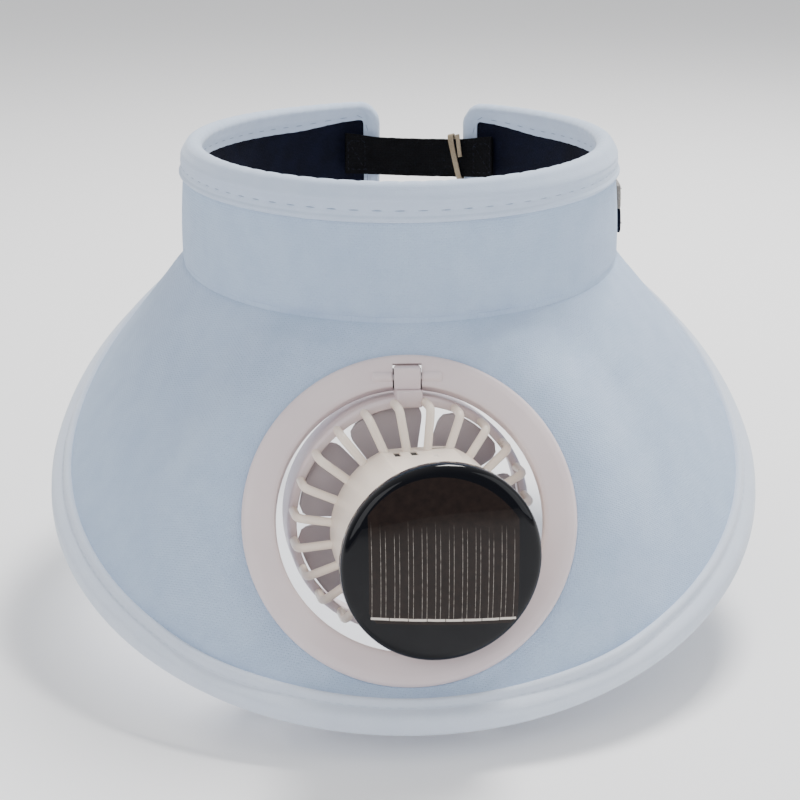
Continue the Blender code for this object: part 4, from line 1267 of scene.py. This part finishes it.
def make_knuckle():
    size = (2 * KNUCKLE_HALF_WIDTH + 0.0004, KNUCKLE_HEIGHT + 0.0008, KNUCKLE_DEPTH)
    knuckle = soften(link("arm_knuckle", block("arm_knuckle", size, (0, 0, 0)), bezel_plastic), 0.0008, 4)
    hole = PIN_RADIUS + FIT
    outline = [(0.0, 0.01), (hole, 0.01), (hole, -0.01), (0.0, -0.01)]
    bore = turned_to_x(lathe("bore", outline, 24, closed=False), (0, 0, 0))
    cut(knuckle, link("bore", bore, bezel_plastic))
    placed(knuckle.data, TILT_PLACE)
    smooth(knuckle, 35)
    register(knuckle, "fan_arm", "hinge_knuckle")


def make_guard_ring():
    back = RING_FRONT - RING_DEPTH
    inside = RING_RADIUS - RING_WALL
    profile = [
        (RING_RADIUS - 0.0008, RING_FRONT),
        (RING_RADIUS, RING_FRONT - 0.0008),
        (RING_RADIUS, back),
        (inside + 0.0012, back),
        (inside + 0.0006, RING_FRONT - 0.003),
        (inside, RING_FRONT - 0.0022),
        (inside, RING_FRONT),
    ]
    mesh = placed(lathe("guard_ring", filleted(profile, 0.0005)), FAN_PLACE)
    ring = link("guard_ring", mesh, bezel_plastic)
    smooth(ring, 40)
    register(ring, "fan_head", "fan_guard")


def make_guard_ribs():
    outer = RING_RADIUS - RIB_RADIUS - 0.0003
    top = RING_FRONT + RIB_RISE
    path = curved([
        (outer, RING_FRONT - 0.0025),
        (outer, RING_FRONT + 0.0030),
        (outer - 0.0001, top - RIB_BEND),
        (outer - RIB_BEND * 0.35, top - RIB_BEND * 0.28),
        (outer - RIB_BEND * 1.1, top + 0.0001),
        ((outer + HUB_RADIUS) / 2 - 0.0008, top + 0.0008),
        (HUB_RADIUS - 0.0010, top + 0.0019),
        (HUB_FACET - 0.0010, top + 0.0022),
    ], 4)
    ribs = path_object("guard_ribs", [(0.0, radius, height) for radius, height in path])
    grown(ribs, RIB_TREE, [
        (RIB_INPUTS["Count"], RIB_COUNT),
        (RIB_INPUTS["Rib Radius"], RIB_RADIUS),
        (RIB_INPUTS["Material"], guard_plastic),
    ])
    placed(ribs.data, FAN_PLACE)
    smooth(ribs, 60)
    register(ribs, "fan_head")


def make_hub():
    cavity = 0.0226
    wall = 0.0016
    hole = SHAFT_RADIUS + FIT
    outline = [
        (0.0, HUB_FRONT),
        (HUB_RADIUS - 0.0012, HUB_FRONT),
        (HUB_RADIUS - 0.0003, HUB_FRONT - 0.0004),
        (HUB_RADIUS, HUB_FRONT - 0.0012),
        (HUB_RADIUS, HUB_BACK + 0.0022),
        (HUB_RADIUS - 0.0004, HUB_BACK + 0.0008),
        (HUB_RADIUS - 0.0016, HUB_BACK),
        (hole, HUB_BACK),
        (hole, HUB_BACK + wall),
        (cavity, HUB_BACK + wall),
        (cavity, HUB_FRONT - wall),
        (0.0, HUB_FRONT - wall),
    ]
    hub = link("guard_hub", lathe("guard_hub", outline, closed=False), guard_plastic)
    facet = block("facet", (0.04, 0.01, HUB_FRONT), (0, HUB_FACET + 0.005, HUB_BACK - 0.001 + HUB_FRONT / 2))
    cut(hub, link("facet", facet, guard_plastic))
    for name, across, up, width, height in HUB_MARKS:
        at = Vector((across, HUB_FACET, HUB_BACK + up))
        cut(hub, link("recess", block("recess", (width, MARK_DEPTH, height), at), guard_plastic))
        # A dark plate at each recess's floor is painted shade
        plate = block(name, (width * 0.98, 0.00025, height * 0.98), at - Vector((0, MARK_DEPTH * 0.4, 0)))
        floor = link(name, placed(plate, FAN_PLACE), recess_shade_plastic)
        register(floor, "fan_head")
    placed(hub.data, FAN_PLACE)
    smooth(hub, 18)
    register(hub, "fan_head")


def make_fan_arm():
    arm_top = FAN_DROP - KNUCKLE_HEIGHT / 2 - FIT
    arm_low = RING_RADIUS - RING_WALL - 0.0006
    size = (2 * KNUCKLE_HALF_WIDTH + 0.0004, arm_top - arm_low, 0.0058)
    arm = block("fan_arm_tab", size, (0, (arm_top + arm_low) / 2, RING_FRONT - size[2] / 2 + 0.0006))
    arm = soften(link("fan_arm_tab", arm, bezel_plastic), 0.0007, 3)
    placed(arm.data, FAN_PLACE)
    smooth(arm, 35)
    register(arm, "fan_head")


def make_panel():
    base = HUB_FRONT + FIT
    rim = base + PANEL_RIM
    dome = []
    for step in range(25):
        radius = PANEL_RADIUS * 0.945 * step / 24
        dome.append((radius, rim + PANEL_DOME * (1.0 - (radius / PANEL_RADIUS / 0.945) ** 2.4 * 0.86)))
    edge = [
        (PANEL_RADIUS * 0.968, rim + 0.00005),
        (PANEL_RADIUS * 0.985, rim - 0.0004),
        (PANEL_RADIUS * 0.997, rim - 0.0012),
        (PANEL_RADIUS, rim - 0.0022),
        (PANEL_RADIUS, base + 0.0009),
        (PANEL_RADIUS - 0.0003, base + 0.0003),
        (PANEL_RADIUS - 0.0009, base),
        (0.0, base),
    ]
    mesh = lathe("solar_disc", dome + edge, 160, closed=False)
    layer = mesh.uv_layers.new(name="disc")
    for loop in mesh.loops:
        point = mesh.vertices[loop.vertex_index].co
        layer.data[loop.index].uv = (point.x, point.y + point.x * math.tan(CELL_TURN))
    disc = smooth(link("solar_disc", placed(mesh, FAN_PLACE), solar_resin), 50)
    register(disc, "fan_head", "solar_panel")


def make_impeller():
    shaft_top = HUB_BACK + 0.0036
    outline = [
        (0.0, shaft_top),
        (SHAFT_RADIUS, shaft_top - 0.0002),
        (SHAFT_RADIUS, ROTOR_FRONT),
        (ROTOR_RADIUS - 0.0016, ROTOR_FRONT),
        (ROTOR_RADIUS - 0.0005, ROTOR_FRONT - 0.0004),
        (ROTOR_RADIUS, ROTOR_FRONT - 0.0016),
        (ROTOR_RADIUS, ROTOR_BACK + 0.0006),
        (ROTOR_RADIUS - 0.0006, ROTOR_BACK),
        (0.0, ROTOR_BACK),
    ]
    rotor = link("rotor_cup", placed(lathe("rotor_cup", outline, 96, closed=False), FAN_PLACE), shaded_rotor_plastic)
    smooth(rotor, 40)
    register(rotor, "rotor", "impeller")
    blades = bmesh.new()
    inner = ROTOR_RADIUS - 0.0008

    def blade_point(across, out):
        # Rounded outer corners: the blade narrows over its last part
        near_tip = max(0.0, (out - 0.80) / 0.20)
        narrow = 1.0 - 0.30 * (1.0 - math.sqrt(max(0.0, 1.0 - near_tip ** 2)))
        share = across - 0.5
        radius = inner + (BLADE_TIP - inner) * out
        angle = middle + BLADE_SPAN * share * narrow
        height = radius * BLADE_SPAN * share * math.tan(BLADE_PITCH) * 0.75 * (1.0 - 0.25 * out)
        height += 0.0006 * math.sin(math.pi * across)
        return blades.verts.new((radius * math.cos(angle), radius * math.sin(angle), height))

    for index in range(BLADE_COUNT):
        middle = 2 * math.pi * index / BLADE_COUNT
        rows = grid(18, 20, blade_point)
        for low, high in zip(rows, rows[1:]):
            for j in range(len(low) - 1):
                blades.faces.new((low[j], high[j], high[j + 1], low[j + 1]))
    vanes = link("rotor_blades", placed(mesh_from("rotor_blades", blades), FAN_PLACE), shaded_rotor_plastic)
    vanes = smooth(soften(thicken(vanes, BLADE_WALL), 0.0003, 2, 50.0), 50)
    register(vanes, "rotor")


# Floor, light and camera

FLOOR_HEIGHT = -0.1120
FLOOR_REACH = 6.0
CAMERA_ELEVATION = math.radians(19.37)
CAMERA_AZIMUTH = math.radians(-1.19)
CAMERA_ROLL = math.radians(0.26)
CAMERA_TARGET = (0.0, -0.01346, -0.0539)
CAMERA_DISTANCE = 0.55984
CAMERA_LENS = 66.51
CAMERA_SHIFT = (-0.000925, -0.00934)


def make_floor():
    material, _, shader = start_material("pale_floor")
    set_plain(shader, Base_Color=(0.93, 0.93, 0.94, 1.0), Roughness=0.85)
    turns = ((-1, -1), (1, -1), (1, 1), (-1, 1))
    corners = [(x * FLOOR_REACH, y * FLOOR_REACH, FLOOR_HEIGHT) for x, y in turns]
    mesh = bpy.data.meshes.new("floor")
    mesh.from_pydata(corners, [], [(0, 1, 2, 3)])
    link("floor", mesh, material)


def aim(obj, target):
    direction = Vector(target) - obj.location
    obj.rotation_euler = direction.to_track_quat("-Z", "Y").to_euler()


def make_light(name, location, target, size, power, colour):
    light = bpy.data.lights.new(name, "AREA")
    light.shape = "SQUARE"
    light.size = size
    light.energy = power
    light.color = colour
    obj = bpy.data.objects.new(name, light)
    bpy.context.scene.collection.objects.link(obj)
    obj.location = location
    aim(obj, target)


def make_lights():
    # Name, place, target, size, power and colour
    make_light("key", (0.35, 0.50, 1.15), (0, -0.05, -0.03), 0.40, 26.0, (1.0, 0.985, 0.96))
    make_light("front_fill", (-0.60, -1.00, 0.50), (0, -0.08, -0.03), 0.9, 6.0, (0.97, 0.98, 1.0))
    make_light("side_fill", (1.00, -0.45, 0.35), (0, -0.05, -0.03), 0.8, 3.5, (0.95, 0.98, 1.0))
    world = bpy.data.worlds.new("studio")
    world.use_nodes = True
    tree = world.node_tree
    background = tree.nodes["Background"]
    place = add_node(tree, "ShaderNodeTexCoord")
    split = add_node(tree, "ShaderNodeSeparateXYZ", {0: place.outputs["Generated"]})
    # Brighter behind and above the hat than in front of it
    behind = maths(tree, "ADD", split.outputs["Y"], split.outputs["Z"])
    share = ranged(tree, behind, -0.5, 0.9)
    sky = mixed(tree, share, (0.40, 0.42, 0.46, 1.0), (1.0, 1.0, 1.0, 1.0))
    tree.links.new(sky, background.inputs["Color"])
    background.inputs["Strength"].default_value = 0.95
    bpy.context.scene.world = world


def make_camera():
    """Camera of the photograph, from a fit of the hat's sizes."""
    level = math.cos(CAMERA_ELEVATION)
    back = Vector((math.sin(CAMERA_AZIMUTH) * level, -math.cos(CAMERA_AZIMUTH) * level,
                   math.sin(CAMERA_ELEVATION)))
    right = (-back).cross(Vector((0, 0, 1))).normalized()
    up = right.cross(-back)
    turned_right = right * math.cos(CAMERA_ROLL) - up * math.sin(CAMERA_ROLL)
    turned_up = right * math.sin(CAMERA_ROLL) + up * math.cos(CAMERA_ROLL)
    place = Matrix((turned_right, turned_up, back)).transposed().to_4x4()
    place.translation = Vector(CAMERA_TARGET) + back * CAMERA_DISTANCE
    data = bpy.data.cameras.new("photo_camera")
    data.sensor_width = 36.0
    data.lens = CAMERA_LENS
    data.shift_x, data.shift_y = CAMERA_SHIFT
    camera = bpy.data.objects.new("photo_camera", data)
    camera.matrix_world = place
    bpy.context.scene.collection.objects.link(camera)
    bpy.context.scene.camera = camera


make_camera()
make_floor()
make_lights()
make_band()
make_band_tape()
make_brim()
make_rim_tape()
make_strap()
make_side_tab()
make_bezel()
make_knuckle()
make_guard_ring()
make_guard_ribs()
make_hub()
make_fan_arm()
make_panel()
make_impeller()

bpy.context.view_layer.update()
